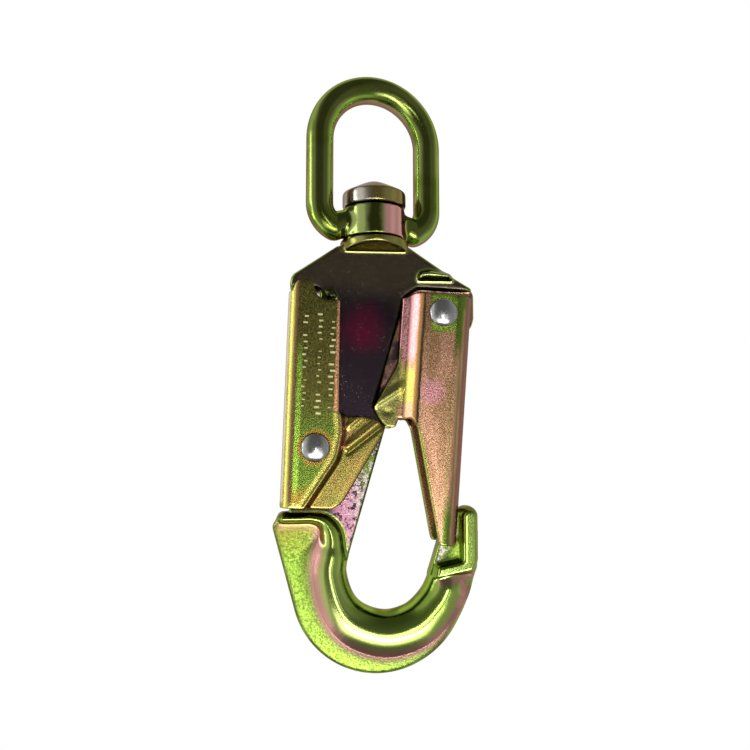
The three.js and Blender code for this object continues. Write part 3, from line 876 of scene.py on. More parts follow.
class Graph:
    """Short calls for building a node tree."""

    def __init__(self, tree):
        self.tree = tree

    def add(self, kind, **settings):
        """A node with its settings."""
        node = self.tree.nodes.new(kind)
        for key, value in settings.items():
            setattr(node, key, value)
        return node

    def put(self, socket, value):
        """Links a socket to an output, or gives it a plain value; a colour gets its alpha."""
        if isinstance(value, bpy.types.NodeSocket):
            self.tree.links.new(value, socket)
        elif socket.type == "RGBA":
            socket.default_value = (*value, 1.0)
        else:
            socket.default_value = value

    def coordinates(self, output="Object"):
        """Object coordinates or the object's own normal."""
        return self.add("ShaderNodeTexCoord").outputs[output]

    def stretched(self, vector, scale):
        """A vector with each of its parts scaled, which draws noise out into streaks."""
        node = self.add("ShaderNodeMapping")
        self.put(node.inputs["Vector"], vector)
        self.put(node.inputs["Scale"], scale)
        return node.outputs[0]

    def attribute(self, name):
        """A mask that the mesh carries."""
        return self.add("ShaderNodeAttribute", attribute_name=name).outputs["Fac"]

    def math(self, operation, *values, clamp=False):
        """A Math node."""
        node = self.add("ShaderNodeMath", operation=operation, use_clamp=clamp)
        for socket, value in zip(node.inputs, values):
            self.put(socket, value)
        return node.outputs[0]

    def ramp(self, value, low, high, start=0.0, end=1.0):
        """A value carried smoothly from the range low to high onto start to end."""
        node = self.add("ShaderNodeMapRange", interpolation_type="SMOOTHSTEP")
        for socket, given in zip(node.inputs, (value, low, high, start, end)):
            self.put(socket, given)
        return node.outputs["Result"]

    def mix(self, factor, a, b):
        """A colour mix."""
        node = self.add("ShaderNodeMix", data_type="RGBA")
        for socket, value in zip(MIX_INPUTS, (factor, a, b)):
            self.put(node.inputs[socket], value)
        return node.outputs[MIX_RESULT]

    def noise(self, vector, scale, detail=2.0, roughness=0.5):
        """A noise mask between 0 and 1."""
        node = self.add("ShaderNodeTexNoise")
        self.put(node.inputs["Vector"], vector)
        self.put(node.inputs["Scale"], scale)
        self.put(node.inputs["Detail"], detail)
        self.put(node.inputs["Roughness"], roughness)
        return node.outputs["Fac"]

    def patches(self, vector, scale, low, high):
        """A noise carried smoothly from the range low to high onto 0 to 1."""
        return self.ramp(self.noise(vector, scale), low, high)

    def window(self, value, low, high, soft):
        """1 where a value is between low and high, falling to 0 over a soft border."""
        rise = self.ramp(value, low - soft, low + soft)
        fall = self.ramp(value, high - soft, high + soft, 1.0, 0.0)
        return self.math("MULTIPLY", rise, fall)

    def wobbled(self, value, vector, size, amount):
        """A value moved up and down by a noise of one size."""
        noise = self.noise(vector, 1 / size)
        shift = self.math("MULTIPLY", self.math("SUBTRACT", noise, 0.5), amount)
        return self.math("ADD", value, shift)

    def both(self, *masks):
        """Product of masks and plain numbers."""
        result = masks[0]
        for mask in masks[1:]:
            result = self.math("MULTIPLY", result, mask)
        return result

    def spot(self, u, v, centre, radius, soft):
        """1 near a place in two coordinates, falling to 0 over a soft border."""
        du, dv = self.math("SUBTRACT", u, centre[0]), self.math("SUBTRACT", v, centre[1])
        squares = self.math("MULTIPLY", du, du), self.math("MULTIPLY", dv, dv)
        away = self.math("SQRT", self.math("ADD", *squares))
        return self.ramp(away, radius - soft, radius + soft, 1.0, 0.0)

    def layered(self, base, *layers):
        """Colours laid over each other, each with its mask."""
        for mask, tint in layers:
            base = self.mix(mask, base, tint)
        return base

    def place(self, vector):
        """X, Y and the height over the datum of an object coordinate."""
        x, y, z = self.split(vector)
        return x, y, self.math("ADD", z, CROWN * MM)

    def split(self, vector):
        """X, Y and Z of a vector."""
        node = self.add("ShaderNodeSeparateXYZ")
        self.put(node.inputs[0], vector)
        return node.outputs

    def group(self, tree, **values):
        """A shared node group with its inputs set."""
        node = self.add("ShaderNodeGroup", node_tree=tree)
        for key, value in values.items():
            self.put(node.inputs[key.replace("_", " ")], value)
        return node.outputs


def new_group(name, inputs, outputs):
    """A shader node group with named sockets, and the graph, inputs and outputs to fill it."""
    tree = bpy.data.node_groups.new(name, "ShaderNodeTree")
    for socket, kind in inputs:
        tree.interface.new_socket(socket, in_out="INPUT", socket_type=kind)
    for socket, kind in outputs:
        tree.interface.new_socket(socket, in_out="OUTPUT", socket_type=kind)
    graph = Graph(tree)
    return graph, graph.add("NodeGroupInput").outputs, graph.add("NodeGroupOutput").inputs


def blast_group():
    """Blasted forging skin: a height for bump and a mask of bright specks."""
    if "blast" in bpy.data.node_groups:
        return bpy.data.node_groups["blast"]
    graph, given, out = new_group(
        "blast",
        [("Vector", "NodeSocketVector"), ("Size", "NodeSocketFloat")],
        [("Height", "NodeSocketFloat"), ("Specks", "NodeSocketFloat"), ("Tone", "NodeSocketFloat")],
    )
    scale = graph.math("DIVIDE", 1.0, given["Size"])
    coarse = graph.noise(given["Vector"], scale, 3.0, 0.65)
    fine = graph.noise(given["Vector"], graph.math("MULTIPLY", scale, 2.3), 2.0, 0.6)
    height = graph.math("ADD", coarse, graph.math("MULTIPLY", fine, 0.5))
    graph.put(out["Height"], height)
    graph.put(out["Specks"], graph.ramp(graph.math("MULTIPLY", coarse, fine), 0.36, 0.46))
    graph.put(out["Tone"], graph.ramp(coarse, 0.35, 0.65))
    return graph.tree


def bloom_group():
    """Iridescent bloom of the plating: three colours mixed by two soft noises."""
    if "bloom" in bpy.data.node_groups:
        return bpy.data.node_groups["bloom"]
    graph, given, out = new_group(
        "bloom",
        [
            ("Vector", "NodeSocketVector"),
            ("Size", "NodeSocketFloat"),
            ("First", "NodeSocketColor"),
            ("Second", "NodeSocketColor"),
            ("Third", "NodeSocketColor"),
        ],
        [("Color", "NodeSocketColor")],
    )
    scale = graph.math("DIVIDE", 1.0, given["Size"])
    first = graph.noise(given["Vector"], scale, 2.0, 0.5)
    second = graph.noise(given["Vector"], graph.math("MULTIPLY", scale, 1.7), 2.0, 0.5)
    mixed = graph.mix(graph.ramp(first, 0.4, 0.6), given["First"], given["Second"])
    graph.put(out["Color"], graph.mix(graph.ramp(second, 0.52, 0.68), mixed, given["Third"]))
    return graph.tree


def plated(name, graph_builder, look):
    """A metal material; graph_builder returns its colour, roughness, bump height and depth."""
    material = bpy.data.materials.new(name)
    material.use_nodes = True
    tree = material.node_tree
    tree.nodes.clear()
    graph = Graph(tree)
    shader = graph.add("ShaderNodeBsdfPrincipled")
    output = graph.add("ShaderNodeOutputMaterial")
    tree.links.new(shader.outputs[0], output.inputs["Surface"])
    shader.inputs["Metallic"].default_value = 1.0
    graph.put(shader.inputs["Specular Tint"], look.grazing)
    base, rough, height, depth = graph_builder(graph)
    graph.put(shader.inputs["Base Color"], base)
    graph.put(shader.inputs["Roughness"], rough)
    if height is not None:
        bump = graph.add("ShaderNodeBump")
        bump.inputs["Strength"].default_value = 1.0
        bump.inputs["Distance"].default_value = depth
        graph.put(bump.inputs["Height"], height)
        tree.links.new(bump.outputs[0], shader.inputs["Normal"])
    return material


def facing(graph):
    """How far the surface faces forward or back, and how far up."""
    _, forward, up = graph.split(graph.coordinates("Normal"))
    return graph.math("ABSOLUTE", forward), up


# ---------------------------------------------------------------- operators


class AddEye(bpy.types.Operator):
    """Adds the forged eye that turns on the hook's post"""

    bl_idname = "hook.add_eye"
    bl_label = "Eye"

    def execute(self, context):
        sizes = context.scene.swivel_sizes
        look = context.scene.plating_look
        axes = lattice((-20.4, -9.6, -39.6), (20.4, 9.6, 10.6), 0.3)
        vertices, quads, normals = surface(eye_field(sizes, *axes), axes)
        c, s = math.cos(sizes.turn), math.sin(sizes.turn)
        spin = np.array([(c, -s, 0), (s, c, 0), (0, 0, 1)])
        eye = make_piece("eye", vertices @ spin.T, quads, normals @ spin.T)
        place(eye, "eye", "eye_plating", eye_material(look), "swivel_eye")
        return {"FINISHED"}


class AddBody(bpy.types.Operator):
    """Adds the hook's forging with its plate, bowl, nose, collar and post"""

    bl_idname = "hook.add_body"
    bl_label = "Forged body"

    def execute(self, context):
        sizes = context.scene.forging_sizes
        swivel = context.scene.swivel_sizes
        look = context.scene.plating_look
        axes = lattice((-29, -10.6, -153), (29.5, 10.6, -19), 0.4)
        vertices, quads, normals = surface(body_field(sizes, swivel, *axes), axes)
        x, y, z = vertices.T
        off_line, reach = along_line(smooth_path(BEAD_LINE, 60), x, z)
        bead = (off_line - 1) * reach
        bowl_side = np.array([*smooth_path(BEAD_LINE, 60)[:, :2], (24, -105), (-24, -105)])
        outer = smoothstep(-0.5, 1.5, outline_distance(bowl_side, x, z))
        bump = shape_distance(GATE_BUMP_OUTLINE, x, z, COARSE_ARC)
        nose = shape_distance(NOSE_OUTLINE, x, z, COARSE_ARC)
        fillet = outer * np.exp(-(((bead + 0.3) / 1.4) ** 2)) * smoothstep(0.0, 1.0, nose)
        crease = line_distance(np.array(NOSE_CREASE), x, z)
        flange = shape_distance(FLANGE_OUTLINE, x, z, COARSE_ARC)
        recess = shape_distance(RECESS_OUTLINE, x, z, COARSE_ARC)
        masks = {
            "bead": smoothstep(0.6, -0.6, np.minimum(bead, nose)) * smoothstep(2.6, 4.0, np.abs(y)),
            "fillet": np.maximum(
                fillet * smoothstep(-111.0, -116.0, z), np.exp(-((crease / 0.8) ** 2))
            ),
            "bump": smoothstep(0.6, -0.3, bump),
            "bowl": smoothstep(0.4, -0.4, np.minimum(np.minimum(bead, nose), flange)),
            "recess": smoothstep(0.3, -0.3, recess),
        }
        body = make_piece("body", vertices, quads, normals, masks)
        place(body, "hook", "body_plating", body_material(look), "hook_body")
        return {"FINISHED"}


class AddGate(bpy.types.Operator):
    """Adds the pressed gate that closes the throat"""

    bl_idname = "hook.add_gate"
    bl_label = "Gate"

    def execute(self, context):
        sizes = context.scene.sheet_sizes
        look = context.scene.plating_look
        axes = lattice((-18.5, -9.2, -62.5), (9.2, 9.2, 6.8), 0.27)
        vertices, quads, normals = surface(gate_field(sizes, *axes), axes)
        masks = {"across": vertices[:, 0], "up": vertices[:, 2]}
        placed = turn(vertices, sizes.gate_tilt, GATE_HINGE)
        tilted = turn(normals, sizes.gate_tilt, (0, 0, 0))
        gate = make_piece("gate_channel", placed, quads, tilted, masks)
        place(gate, "gate", "gate_plating", gate_material(look), "gate")
        return {"FINISHED"}


class AddLever(bpy.types.Operator):
    """Adds the pressed lock lever on the spine"""

    bl_idname = "hook.add_lever"
    bl_label = "Lock lever"

    def execute(self, context):
        sizes = context.scene.sheet_sizes
        look = context.scene.plating_look
        axes = lattice((-9.8, -9.2, -17.4), (19.4, 9.2, 45.4), 0.27)
        vertices, quads, normals = surface(lever_field(sizes, *axes), axes)
        crest = shape_distance(LEVER_RAISED, vertices[:, 0], vertices[:, 2], COARSE_ARC)
        masks = {
            "across": vertices[:, 0],
            "up": vertices[:, 2],
            "crest": crest - 5 * smoothstep(9.0, 10.0, vertices[:, 2]),
        }
        placed = turn(vertices, sizes.lever_tilt, LEVER_HINGE)
        tilted = turn(normals, sizes.lever_tilt, (0, 0, 0))
        lever = make_piece("lever_channel", placed, quads, tilted, masks)
        place(lever, "lock", "lever_plating", lever_material(look), "lock_lever")
        return {"FINISHED"}


class AddMarks(bpy.types.Operator):
    """Adds the columns of small raised marks on the lock lever"""

    bl_idname = "hook.add_marks"
    bl_label = "Raised marks"

    def execute(self, context):
        sizes = context.scene.sheet_sizes
        look = context.scene.plating_look
        columns = [(-3.6, 10.6, 34.0, 15), (0.1, 8.8, 34.6, 17), (3.4, 10.4, 34.4, 16)]
        places = np.concatenate(
            [
                np.stack([np.full(count, x), np.linspace(low, high, count)], 1)
                for x, low, high, count in columns
            ]
        )
        places = places[np.arange(len(places)) % 7 != 5]
        places[:, 0] += 0.25 * np.sin(places[:, 1] * 2.3)
        spread = 0.75 + 0.25 * np.sin(places[:, 1] * 3.7 + places[:, 0])
        corner = np.array([(-1, -1), (1, -1), (1, 1), (-1, 1)])
        level = sizes.raised / MM
        foot = corner * np.array([0.72, 0.36])
        top = corner * np.array([0.62, 0.22])
        layers = []
        for side in (-1, 1):
            for ring, height in ((foot, level - 0.15), (top, level + 0.16)):
                flat = places[:, None, :] + ring * spread[:, None, None]
                across = np.full(flat.shape[:2], side * height)
                layers.append(np.stack([flat[..., 0], across, flat[..., 1]], -1))
        low, high = np.stack(layers[0::2]), np.stack(layers[1::2])
        blocks = np.concatenate([low, high], 2).reshape(-1, 8, 3)
        around = np.array(
            [(0, 1, 5, 4), (1, 2, 6, 5), (2, 3, 7, 6), (3, 0, 4, 7), (4, 5, 6, 7), (3, 2, 1, 0)]
        )
        quads = np.arange(len(blocks))[:, None, None] * 8 + around
        half = len(blocks) // 2
        quads[half:] = quads[half:, :, ::-1]
        placed = turn(blocks.reshape(-1, 3), sizes.lever_tilt, LEVER_HINGE)
        marks = make_piece("lever_marks", placed, quads.reshape(-1, 4))
        marks.data.shade_flat()
        marks.data.materials.append(marks_material(look))
        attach(marks, "lock")
        return {"FINISHED"}


class AddRivets(bpy.types.Operator):
    """Adds the two rivets that the gate and the lever turn on"""

    bl_idname = "hook.add_rivets"
    bl_label = "Rivets"

    def execute(self, context):
        sizes = context.scene.sheet_sizes
        look = context.scene.plating_look
        material = rivet_material(look)
        upper = rivet_profile(sizes)
        lower = upper[:0:-1] * np.array([1, -1])
        for name, hinge, node in (
            ("rivet_gate", GATE_HINGE, "gate_rivet"),
            ("rivet_lever", LEVER_HINGE, "lever_rivet"),
        ):
            vertices, quads = lathe(np.concatenate([lower, upper]), hinge, 64)
            rivet = make_piece(name, vertices, quads)
            rivet.data.set_sharp_from_angle(angle=math.radians(50))
            place(rivet, "hook", "rivet_steel", material, node)
        return {"FINISHED"}


class AddBushings(bpy.types.Operator):
    """Gives the spacer tubes round the rivets their steel"""

    bl_idname = "hook.add_bushings"
    bl_label = "Bushings"

    def execute(self, context):
        material = bushing_material(context.scene.plating_look)
        for node in ("gate_bushing", "lever_bushing"):
            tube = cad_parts[node]
            tube.data.materials.clear()
            tube.data.materials.append(material)
        return {"FINISHED"}


class AddSprings(bpy.types.Operator):
    """Adds the four torsion springs inside the channels"""

    bl_idname = "hook.add_springs"
    bl_label = "Springs"

    def execute(self, context):
        sizes = context.scene.sheet_sizes
        material = spring_material(context.scene.plating_look)
        coil, wire = sizes.coil / MM, sizes.wire / MM
        gate_leg = [(4.3, 3.4, 3), (3.9, 3.4, 5.4)]
        foot = ((4.9, 3.6), (4.9, 5.4), (4.78, 6.7), (4.4, 7.6), (3.7, 8.05), (2.8, 8.1), (1.6, 8.1))
        lever_leg = [(-coil, out, -drop) for out, drop in foot]
        kinds = (
            ("gate", "gate", GATE_HINGE, -1, spring_path(coil, 3.4, 5.6, 0, 2, (4.6, -13), gate_leg)),
            ("lever", "lock", LEVER_HINGE, 1, spring_path(coil, 4.9, 5.95, 180, 1, (-5.4, 13), lever_leg)),
        )
        for kind, body, hinge, up, path in kinds:
            for end, side in (("front", -1), ("rear", 1)):
                line = path * np.array([1, side, 1]) + np.array(hinge)
                vertices, quads = swept_wire(line, wire)
                spring = make_piece(f"spring_{kind}_{end}", vertices, quads)
                spring.data.materials.append(material)
                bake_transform(spring)
                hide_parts(f"{kind}_spring_{end}")
        return {"FINISHED"}


# ---------------------------------------------------------------- materials


def eye_material(look):
    """Glossy olive and lime plating of the eye, with its reflection bands painted in by facing direction:
    painted shade where the bars face the front, a painted highlight band beside it, and a painted rosewood
    reflection at the grazing edges.
    """

    def build(graph):
        vector = graph.coordinates()
        x, y, z = graph.place(vector)
        front, _ = facing(graph)
        blast = graph.group(blast_group(), Vector=vector, Size=0.0005)
        bloom = graph.group(
            bloom_group(), Vector=vector, Size=0.012, First=look.sage,
            Second=look.moss, Third=look.sage,
        )["Color"]
        # Painted reflection by facing direction: olive where the bars face the front (painted shade), a lime
        # band (painted highlight), rosewood towards the grazing edges (painted reflection).
        olive = graph.window(front, 0.80, 2.0, 0.10)
        painted_grazing_reflection = graph.ramp(front, 0.52, 0.22)
        boss = graph.both(graph.spot(x, y, (0.0, 0.0), 0.0088, 0.0003), graph.ramp(z, -0.026, -0.028))
        # Painted reflection on the boss: a dark olive stripe where it faces the front, and rose on its right
        # side.
        painted_boss_pink_side = graph.both(boss, graph.ramp(x, 0.0012, 0.0030))
        painted_boss_dark_stripe = graph.both(boss, graph.window(graph.wobbled(x, vector, 0.004, 0.002), -0.002, 0.001, 0.0006))
        base = graph.layered(
            bloom,
            # The next three layers are the painted shade, the painted highlight band and the painted grazing
            # reflection.
            (graph.both(olive, 0.85), look.olive),
            (graph.window(front, 0.60, 0.74, 0.03), look.lime),
            (graph.both(painted_grazing_reflection, 0.85), look.rosewood),
            (graph.both(boss, 0.7), look.sage),
            # Painted reflection on the boss: its dark stripe and its rose right side.
            (painted_boss_dark_stripe, look.olive),
            (graph.both(painted_boss_pink_side, 0.85), look.rose),
        )
        rough = graph.ramp(blast["Tone"], 0, 1, 0.12, 0.2)
        return base, rough, blast["Height"], 0.000012

    return plated("eye_plating", build, look)


def body_material(look):
    """Plating of the forging: dark faces, green edges (a painted highlight, set by facing direction), grainy
    lime flange, silver web.
    """

    def build(graph):
        vector = graph.coordinates()
        x, y, z = graph.place(vector)
        front, up = facing(graph)
        blast = graph.group(blast_group(), Vector=vector, Size=0.0005)
        grit = graph.group(blast_group(), Vector=vector, Size=0.0009)
        scuffs = grit["Specks"]
        # Colour by facing direction: faces turned to the front take the plate's dark colours below, and the
        # rounded edges and sides take the lime and moss bloom, a painted highlight along the edges.
        flat = graph.ramp(front, 0.72, 0.96)
        edge = graph.group(
            bloom_group(), Vector=vector, Size=0.010, First=look.lime,
            Second=look.moss, Third=look.lime,
        )["Color"]
        deep = graph.wobbled(z, vector, 0.012, 0.012)
        red = graph.spot(graph.wobbled(x, vector, 0.01, 0.008), deep, (-0.003, -0.063), 0.004, 0.005)
        scuffed = graph.both(scuffs, graph.patches(vector, 900, 0.45, 0.6), graph.noise(vector, 130))
        dust = graph.both(graph.patches(vector, 2300, 0.66, 0.72), graph.patches(vector, 160, 0.4, 0.6))
        plate = graph.layered(
            graph.mix(graph.noise(vector, 90), look.plum, look.ink),
            (graph.ramp(deep, -0.058, -0.046), look.umber),
            (red, look.magenta),
            (scuffed, look.silver),
            (dust, look.pewter),
        )
        web_x = graph.wobbled(x, vector, 0.006, 0.004)
        web = graph.layered(
            graph.mix(graph.ramp(grit["Tone"], 0.2, 0.8), look.lilac, look.pewter),
            (graph.both(graph.ramp(z, -0.100, -0.108), graph.ramp(web_x, -0.001, -0.009)), look.mauve),
            (graph.ramp(grit["Tone"], 0.45, 0.1), look.plum),
            (graph.both(graph.ramp(web_x, -0.006, -0.001), graph.ramp(grit["Tone"], 0.8, 0.3)), look.moss),
            (graph.ramp(grit["Specks"], 0.3, 1.0), look.silver),
            # Painted shade: ink over the top of the web, under the lever's tongue and the gate's lobe.
            (graph.both(graph.ramp(z, -0.098, -0.092), graph.ramp(grit["Tone"], 0.9, 0.3)), look.ink),
            # Painted shadow: ink in the gap between the lever's foot and the bead's strip.
            (graph.both(graph.window(z, -0.1115, -0.1066, 0.0003), graph.ramp(x, -0.009, -0.013)), look.ink),
        )
        low = graph.both(flat, graph.ramp(z, -0.086, -0.090))
        pocket = graph.both(flat, graph.attribute("recess"))
        rim_tone = graph.mix(blast["Tone"], look.moss, look.lime)
        high = graph.ramp(graph.wobbled(z, vector, 0.006, 0.01), -0.122, -0.112)
        rim = graph.layered(
            rim_tone,
            (graph.both(high, blast["Tone"]), look.amber),
            # Painted glints: bright cream specks over the flange's grain.
            (graph.both(blast["Specks"], graph.patches(vector, 900, 0.4, 0.6)), look.highlight_cream),
        )
        bowl = graph.attribute("bowl")
        bead_tone = graph.layered(
            graph.mix(graph.noise(vector, 60), look.lime, look.sage),
            # Painted shade: moss where the bead faces upward.
            (graph.ramp(up, -0.1, 0.6), look.moss),
        )
        base = graph.layered(
            edge,
            (flat, plate),
            (low, web),
            (pocket, graph.mix(graph.patches(vector, 220, 0.4, 0.6), look.rosewood, look.plum)),
            (graph.both(bowl, flat), rim),
            (graph.attribute("bead"), bead_tone),
            (graph.attribute("bump"), look.sage),
            (graph.attribute("fillet"), graph.mix(graph.noise(vector, 150), look.rosewood, look.rose)),
        )
        head = graph.both(graph.spot(x, y, (0.0, 0.0), 0.0105, 0.0004), graph.ramp(z, -0.0415, -0.0405))
        cap = graph.layered(
            graph.mix(graph.noise(vector, 110), look.moss, look.brown),
            (graph.ramp(graph.wobbled(x, vector, 0.004, 0.003), 0.0, -0.005), look.pewter),
            (graph.ramp(z, -0.0355, -0.0365), look.olive_gold),
        )
        base = graph.mix(head, base, cap)
        matt = graph.both(flat, graph.ramp(graph.attribute("bead"), 1.0, 0.0))
        grain = graph.both(matt, graph.ramp(z, -0.084, -0.09, 0.35, 1.0))
        rough = graph.ramp(grain, 0, 1, 0.15, 0.36)
        height = graph.math("MULTIPLY", blast["Height"], graph.ramp(grain, 0, 1, 0.12, 1.0))
        return base, rough, height, 0.00011

    return plated("body_plating", build, look)


def gate_material(look):
    """Satin pink and brown plating of the gate, placed by its own two coordinates in mm."""

    def build(graph):
        vector = graph.coordinates()
        front, _ = facing(graph)
        u = graph.wobbled(graph.attribute("across"), vector, 0.003, 0.7)
        v = graph.wobbled(graph.attribute("up"), vector, 0.004, 3.0)
        blast = graph.group(blast_group(), Vector=vector, Size=0.0004)
        bloom = graph.group(
            bloom_group(), Vector=graph.stretched(vector, (1, 1, 0.2)), Size=0.0035,
            First=look.salmon, Second=look.brown, Third=look.salmon,
        )["Color"]
        low = graph.ramp(v, -28, -36)
        left = graph.ramp(u, -5.2, -6.4)
        slanted = graph.math("ADD", u, graph.math("MULTIPLY", v, 0.23))
        base = graph.layered(
            bloom,
            (graph.both(graph.ramp(v, -2, 3), graph.ramp(u, -4, -2)), look.moss),
            (graph.both(graph.spot(u, v, (0, 0), 5.4, 1.0), graph.ramp(u, -3.6, -2.4)), look.lime),
            (graph.spot(u, v, (-1.5, -21), 3.0, 1.6), look.rose),
            (graph.both(left, graph.ramp(v, -14, -12)), look.rose),
            (graph.both(left, graph.window(v, -24.5, -15, 1.5)), look.straw),
            (graph.window(u, -6.4, -5.0, 0.4), look.tan),
            # Painted shade: a dark line along the joggle's upper bend.
            (graph.window(u, -5.3, -4.7, 0.25), look.umber),
            (graph.both(low, graph.ramp(slanted, -10.2, -11.8)), look.lime),
            (graph.window(u, 3.6, 5.6, 0.4), look.moss),
            (graph.both(graph.window(u, 3.9, 5.2, 0.5), graph.window(v, -50, -10, 4)), look.salmon),
            (graph.ramp(u, 5.6, 6.6), look.rosewood),
            (graph.both(graph.ramp(u, -9.4, -10.6), graph.ramp(v, -9, -11)), look.olive_gold),
        )
        cut = graph.ramp(front, 0.35, 0.15)
        base = graph.mix(graph.both(cut, graph.ramp(u, 5, 4)), base, look.lime)
        return base, graph.ramp(blast["Tone"], 0, 1, 0.2, 0.3), blast["Height"], 0.00003

    return plated("gate_plating", build, look)


def lever_material(look):
    """Satin olive plating of the lock lever, placed by its own two coordinates in mm."""

    def build(graph):
        vector = graph.coordinates()
        front, _ = facing(graph)
        u = graph.wobbled(graph.attribute("across"), vector, 0.003, 0.5)
        v = graph.wobbled(graph.attribute("up"), vector, 0.004, 3.0)
        crest = graph.attribute("crest")
        blast = graph.group(blast_group(), Vector=vector, Size=0.0004)
        flat = graph.mix(graph.ramp(blast["Tone"], -1, 2), look.olive, look.bronze)
        base = graph.layered(
            flat,
            (graph.ramp(v, 14, 2), look.moss),
            (graph.both(graph.window(u, -5.6, -4.2, 0.4), graph.ramp(v, 30, 20)), look.lime),
            (graph.ramp(v, -9, -14), look.amber),
            (graph.spot(u, v, (0, 0), 4.6, 0.8), look.amber),
            (graph.window(u, -6.5, -5.8, 0.25), look.brown),
            (graph.both(graph.ramp(u, 4.1, 4.5), graph.ramp(v, 9.0, 10.5)), look.copper),
            # Painted highlight on the lever's rolled back: straw, and cream at its outer edge.
            (graph.ramp(u, -6.4, -6.9), look.straw),
            (graph.ramp(u, -7.6, -8.2), look.highlight_cream),
            (graph.window(crest, -1.5, 0.1, 0.5), look.straw),
            (graph.window(crest, 0.4, 1.5, 0.3), look.rosewood),
            (graph.both(graph.window(crest, 0.3, 1.6, 0.3), graph.window(v, -1, 8, 1)), look.rose),
            (graph.ramp(crest, 1.6, 2.2), look.tan),
            (graph.both(graph.ramp(crest, 1.6, 2.2), graph.noise(vector, 260)), look.moss),
        )
        cut = graph.ramp(front, 0.4, 0.15)
        base = graph.mix(graph.both(cut, graph.ramp(u, -6, -5)), base, look.copper)
        return base, graph.ramp(blast["Tone"], 0, 1, 0.2, 0.3), blast["Height"], 0.00003

    return plated("lever_plating", build, look)


def marks_material(look):
    """Bright colour of the raised marks, a painted highlight."""

    def build(graph):
        # Painted highlight: the marks are coloured straw and cream all over.
        tone = graph.noise(graph.coordinates(), 500)
        return graph.mix(tone, look.straw, look.highlight_cream), 0.5, None, 0

    return plated("marks_plating", build, look)


def steel(name, tint, look, size, low, high):
    """Plain metal with a faintly mottled roughness."""

    def build(graph):
        vector = graph.coordinates()
        blast = graph.group(blast_group(), Vector=vector, Size=size)
        shade = tuple(0.75 * c for c in tint)
        base = graph.mix(blast["Tone"], tint, shade)
        return base, graph.ramp(blast["Tone"], 0, 1, low, high), blast["Height"], 0.00002

    return plated(name, build, look)


def rivet_material(look):
    """Bright plain steel of the rivets."""
    return steel("rivet_steel", look.steel, look, 0.0012, 0.16, 0.3)


def bushing_material(look):
    """Drawn tube of the bushings."""
    return steel("bushing_steel", look.steel, look, 0.0008, 0.3, 0.42)


def spring_material(look):
    """Drawn wire of the springs."""
    return steel("spring_steel", look.wire, look, 0.0005, 0.32, 0.45)


# ---------------------------------------------------------------- stage


# Bright windows in front of the hook that only the plating reflects: the strength of each, and
# the directions it spans, each with its two ends and how softly it falls off there
STUDIO_LIGHTS = (
    (1.1, ("side", -0.97, -0.60, 0.03)),
    (5.0, ("side", -0.97, -0.92, 0.02)),
    (0.7, ("side", 0.84, 0.95, 0.03)),
    (5.0, ("up", -0.70, -0.42, 0.10), ("side", -0.45, 0.45, 0.12)),
    (12.0, ("up", -0.36, -0.04, 0.04), ("side", 0.03, 0.12, 0.03)),
    (3.0, ("up", -0.6, -0.02, 0.04), ("side", 0.30, 0.36, 0.02)),
)


def soft_box(name, place_at, target, width, height, power):
    """A rectangular area light that faces a target."""
    data = bpy.data.lights.new(name, "AREA")
    data.shape = "RECTANGLE"
    data.size, data.size_y = width, height
    data.energy = power
    lamp = bpy.data.objects.new(name, data)
    bpy.context.scene.collection.objects.link(lamp)
    lamp.location = place_at
    aim = Vector(target) - Vector(place_at)
    lamp.rotation_euler = aim.to_track_quat("-Z", "Y").to_euler()
    return lamp


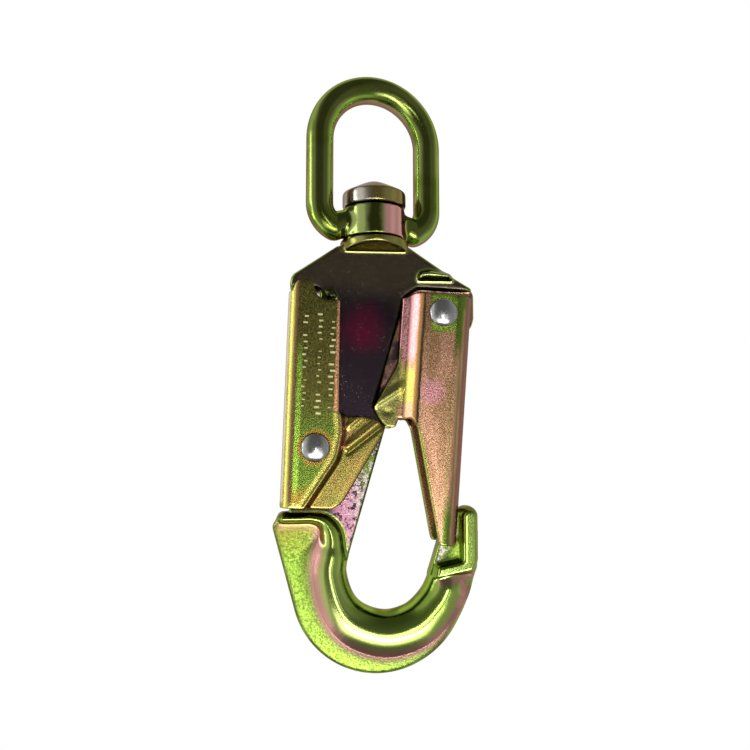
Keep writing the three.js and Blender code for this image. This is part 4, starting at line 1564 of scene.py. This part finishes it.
class AddStage(bpy.types.Operator):
    """Adds the white floor, the studio light and the camera"""

    bl_idname = "hook.add_stage"
    bl_label = "Stage"

    def execute(self, context):
        look = context.scene.stage_look
        self.add_floor(look)
        self.add_world(context.scene, look)
        aim = (0.0, 0.0, -look.aim)
        soft_box("soft_low", (0.06, -0.70, -0.50), aim, 0.5, 0.16, 3)
        self.add_camera(context.scene, look)
        context.scene.view_settings.view_transform = "Standard"
        return {"FINISHED"}

    def add_floor(self, look):
        """A floor as white as the background, which the plating does not reflect."""
        reach, height = 4000.0, -look.floor_drop / MM
        corners = [(-reach, -reach), (reach, -reach), (reach, reach), (-reach, reach)]
        vertices = np.array([(x, y, height) for x, y in corners])
        floor = make_piece("floor", vertices, np.array([(0, 1, 2, 3)]))
        material = bpy.data.materials.new("floor_white")
        material.use_nodes = True
        tree = material.node_tree
        tree.nodes.clear()
        graph = Graph(tree)
        glow = graph.add("ShaderNodeEmission")
        graph.put(glow.inputs["Color"], look.white)
        clear = graph.add("ShaderNodeBsdfTransparent")
        seen = graph.add("ShaderNodeMixShader")
        graph.put(seen.inputs[0], graph.add("ShaderNodeLightPath").outputs["Is Camera Ray"])
        graph.put(seen.inputs[1], clear.outputs[0])
        graph.put(seen.inputs[2], glow.outputs[0])
        output = graph.add("ShaderNodeOutputMaterial")
        tree.links.new(seen.outputs[0], output.inputs["Surface"])
        floor.data.materials.append(material)

    def add_world(self, scene, look):
        """White to the camera; to the plating, white at the sides and dim in front."""
        world = bpy.data.worlds.new("studio")
        scene.world = world
        world.use_nodes = True
        tree = world.node_tree
        tree.nodes.clear()
        graph = Graph(tree)
        side, back, up = graph.split(graph.coordinates("Generated"))
        beside = graph.math("ABSOLUTE", side)
        front = graph.ramp(back, 0.05, -0.05)
        room = graph.mix(graph.ramp(beside, 0.30, 0.62), look.dim, look.mid)
        directions = {"side": side, "up": up}
        for strength, *windows in STUDIO_LIGHTS:
            masks = [graph.window(directions[name], *limits) for name, *limits in windows]
            room = graph.mix(graph.both(*masks, front), room, (strength, strength, strength))
        room = graph.mix(graph.ramp(back, 0.0, 0.4), room, look.behind)
        seen = graph.add("ShaderNodeLightPath").outputs["Is Camera Ray"]
        sky = graph.add("ShaderNodeBackground")
        graph.put(sky.inputs["Color"], graph.mix(seen, room, look.white))
        output = graph.add("ShaderNodeOutputWorld")
        tree.links.new(sky.outputs[0], output.inputs["Surface"])

    def add_camera(self, scene, look):
        """The camera, a little to the left of the hook's front and a little below its middle."""
        data = bpy.data.cameras.new("camera")
        data.sensor_width = 36
        data.lens = data.sensor_width * look.distance / look.frame_width
        data.clip_start, data.clip_end = 0.01, 20
        camera = bpy.data.objects.new("camera", data)
        scene.collection.objects.link(camera)
        target = Vector((0.00027, 0.0, -look.aim))
        back = Vector(
            (
                math.sin(look.azimuth) * math.cos(look.elevation),
                -math.cos(look.azimuth) * math.cos(look.elevation),
                math.sin(look.elevation),
            )
        )
        camera.location = target + back * look.distance
        camera.rotation_euler = (-back).to_track_quat("-Z", "Y").to_euler()
        scene.camera = camera


class HookPanel(bpy.types.Panel):
    """Lists the hook's pieces and its stage"""

    bl_idname = "VIEW3D_PT_swivel_hook"
    bl_label = "Swivel snap hook"
    bl_space_type = "VIEW_3D"
    bl_region_type = "UI"
    bl_category = "Hook"

    def draw(self, context):
        for operator in OPERATORS:
            self.layout.operator(operator.bl_idname)


OPERATORS = (
    AddEye,
    AddBody,
    AddGate,
    AddLever,
    AddMarks,
    AddRivets,
    AddBushings,
    AddSprings,
    AddStage,
)
GROUPS = {
    "swivel_sizes": SwivelSizes,
    "forging_sizes": ForgingSizes,
    "sheet_sizes": SheetSizes,
    "plating_look": PlatingLook,
    "stage_look": StageLook,
}


def register():
    """Registers the properties, operators and panel."""
    for name, group in GROUPS.items():
        bpy.utils.register_class(group)
        setattr(bpy.types.Scene, name, PointerProperty(type=group))
    for item in (*OPERATORS, HookPanel):
        bpy.utils.register_class(item)


def unregister():
    """Removes what register added."""
    for item in (HookPanel, *reversed(OPERATORS)):
        bpy.utils.unregister_class(item)
    for name, group in GROUPS.items():
        delattr(bpy.types.Scene, name)
        bpy.utils.unregister_class(group)


def main():
    """Builds every piece and the stage."""
    register()
    bpy.ops.hook.add_eye()
    bpy.ops.hook.add_body()
    bpy.ops.hook.add_gate()
    bpy.ops.hook.add_lever()
    bpy.ops.hook.add_marks()
    bpy.ops.hook.add_rivets()
    bpy.ops.hook.add_bushings()
    bpy.ops.hook.add_springs()
    bpy.ops.hook.add_stage()


if __name__ == "__main__":
    main()
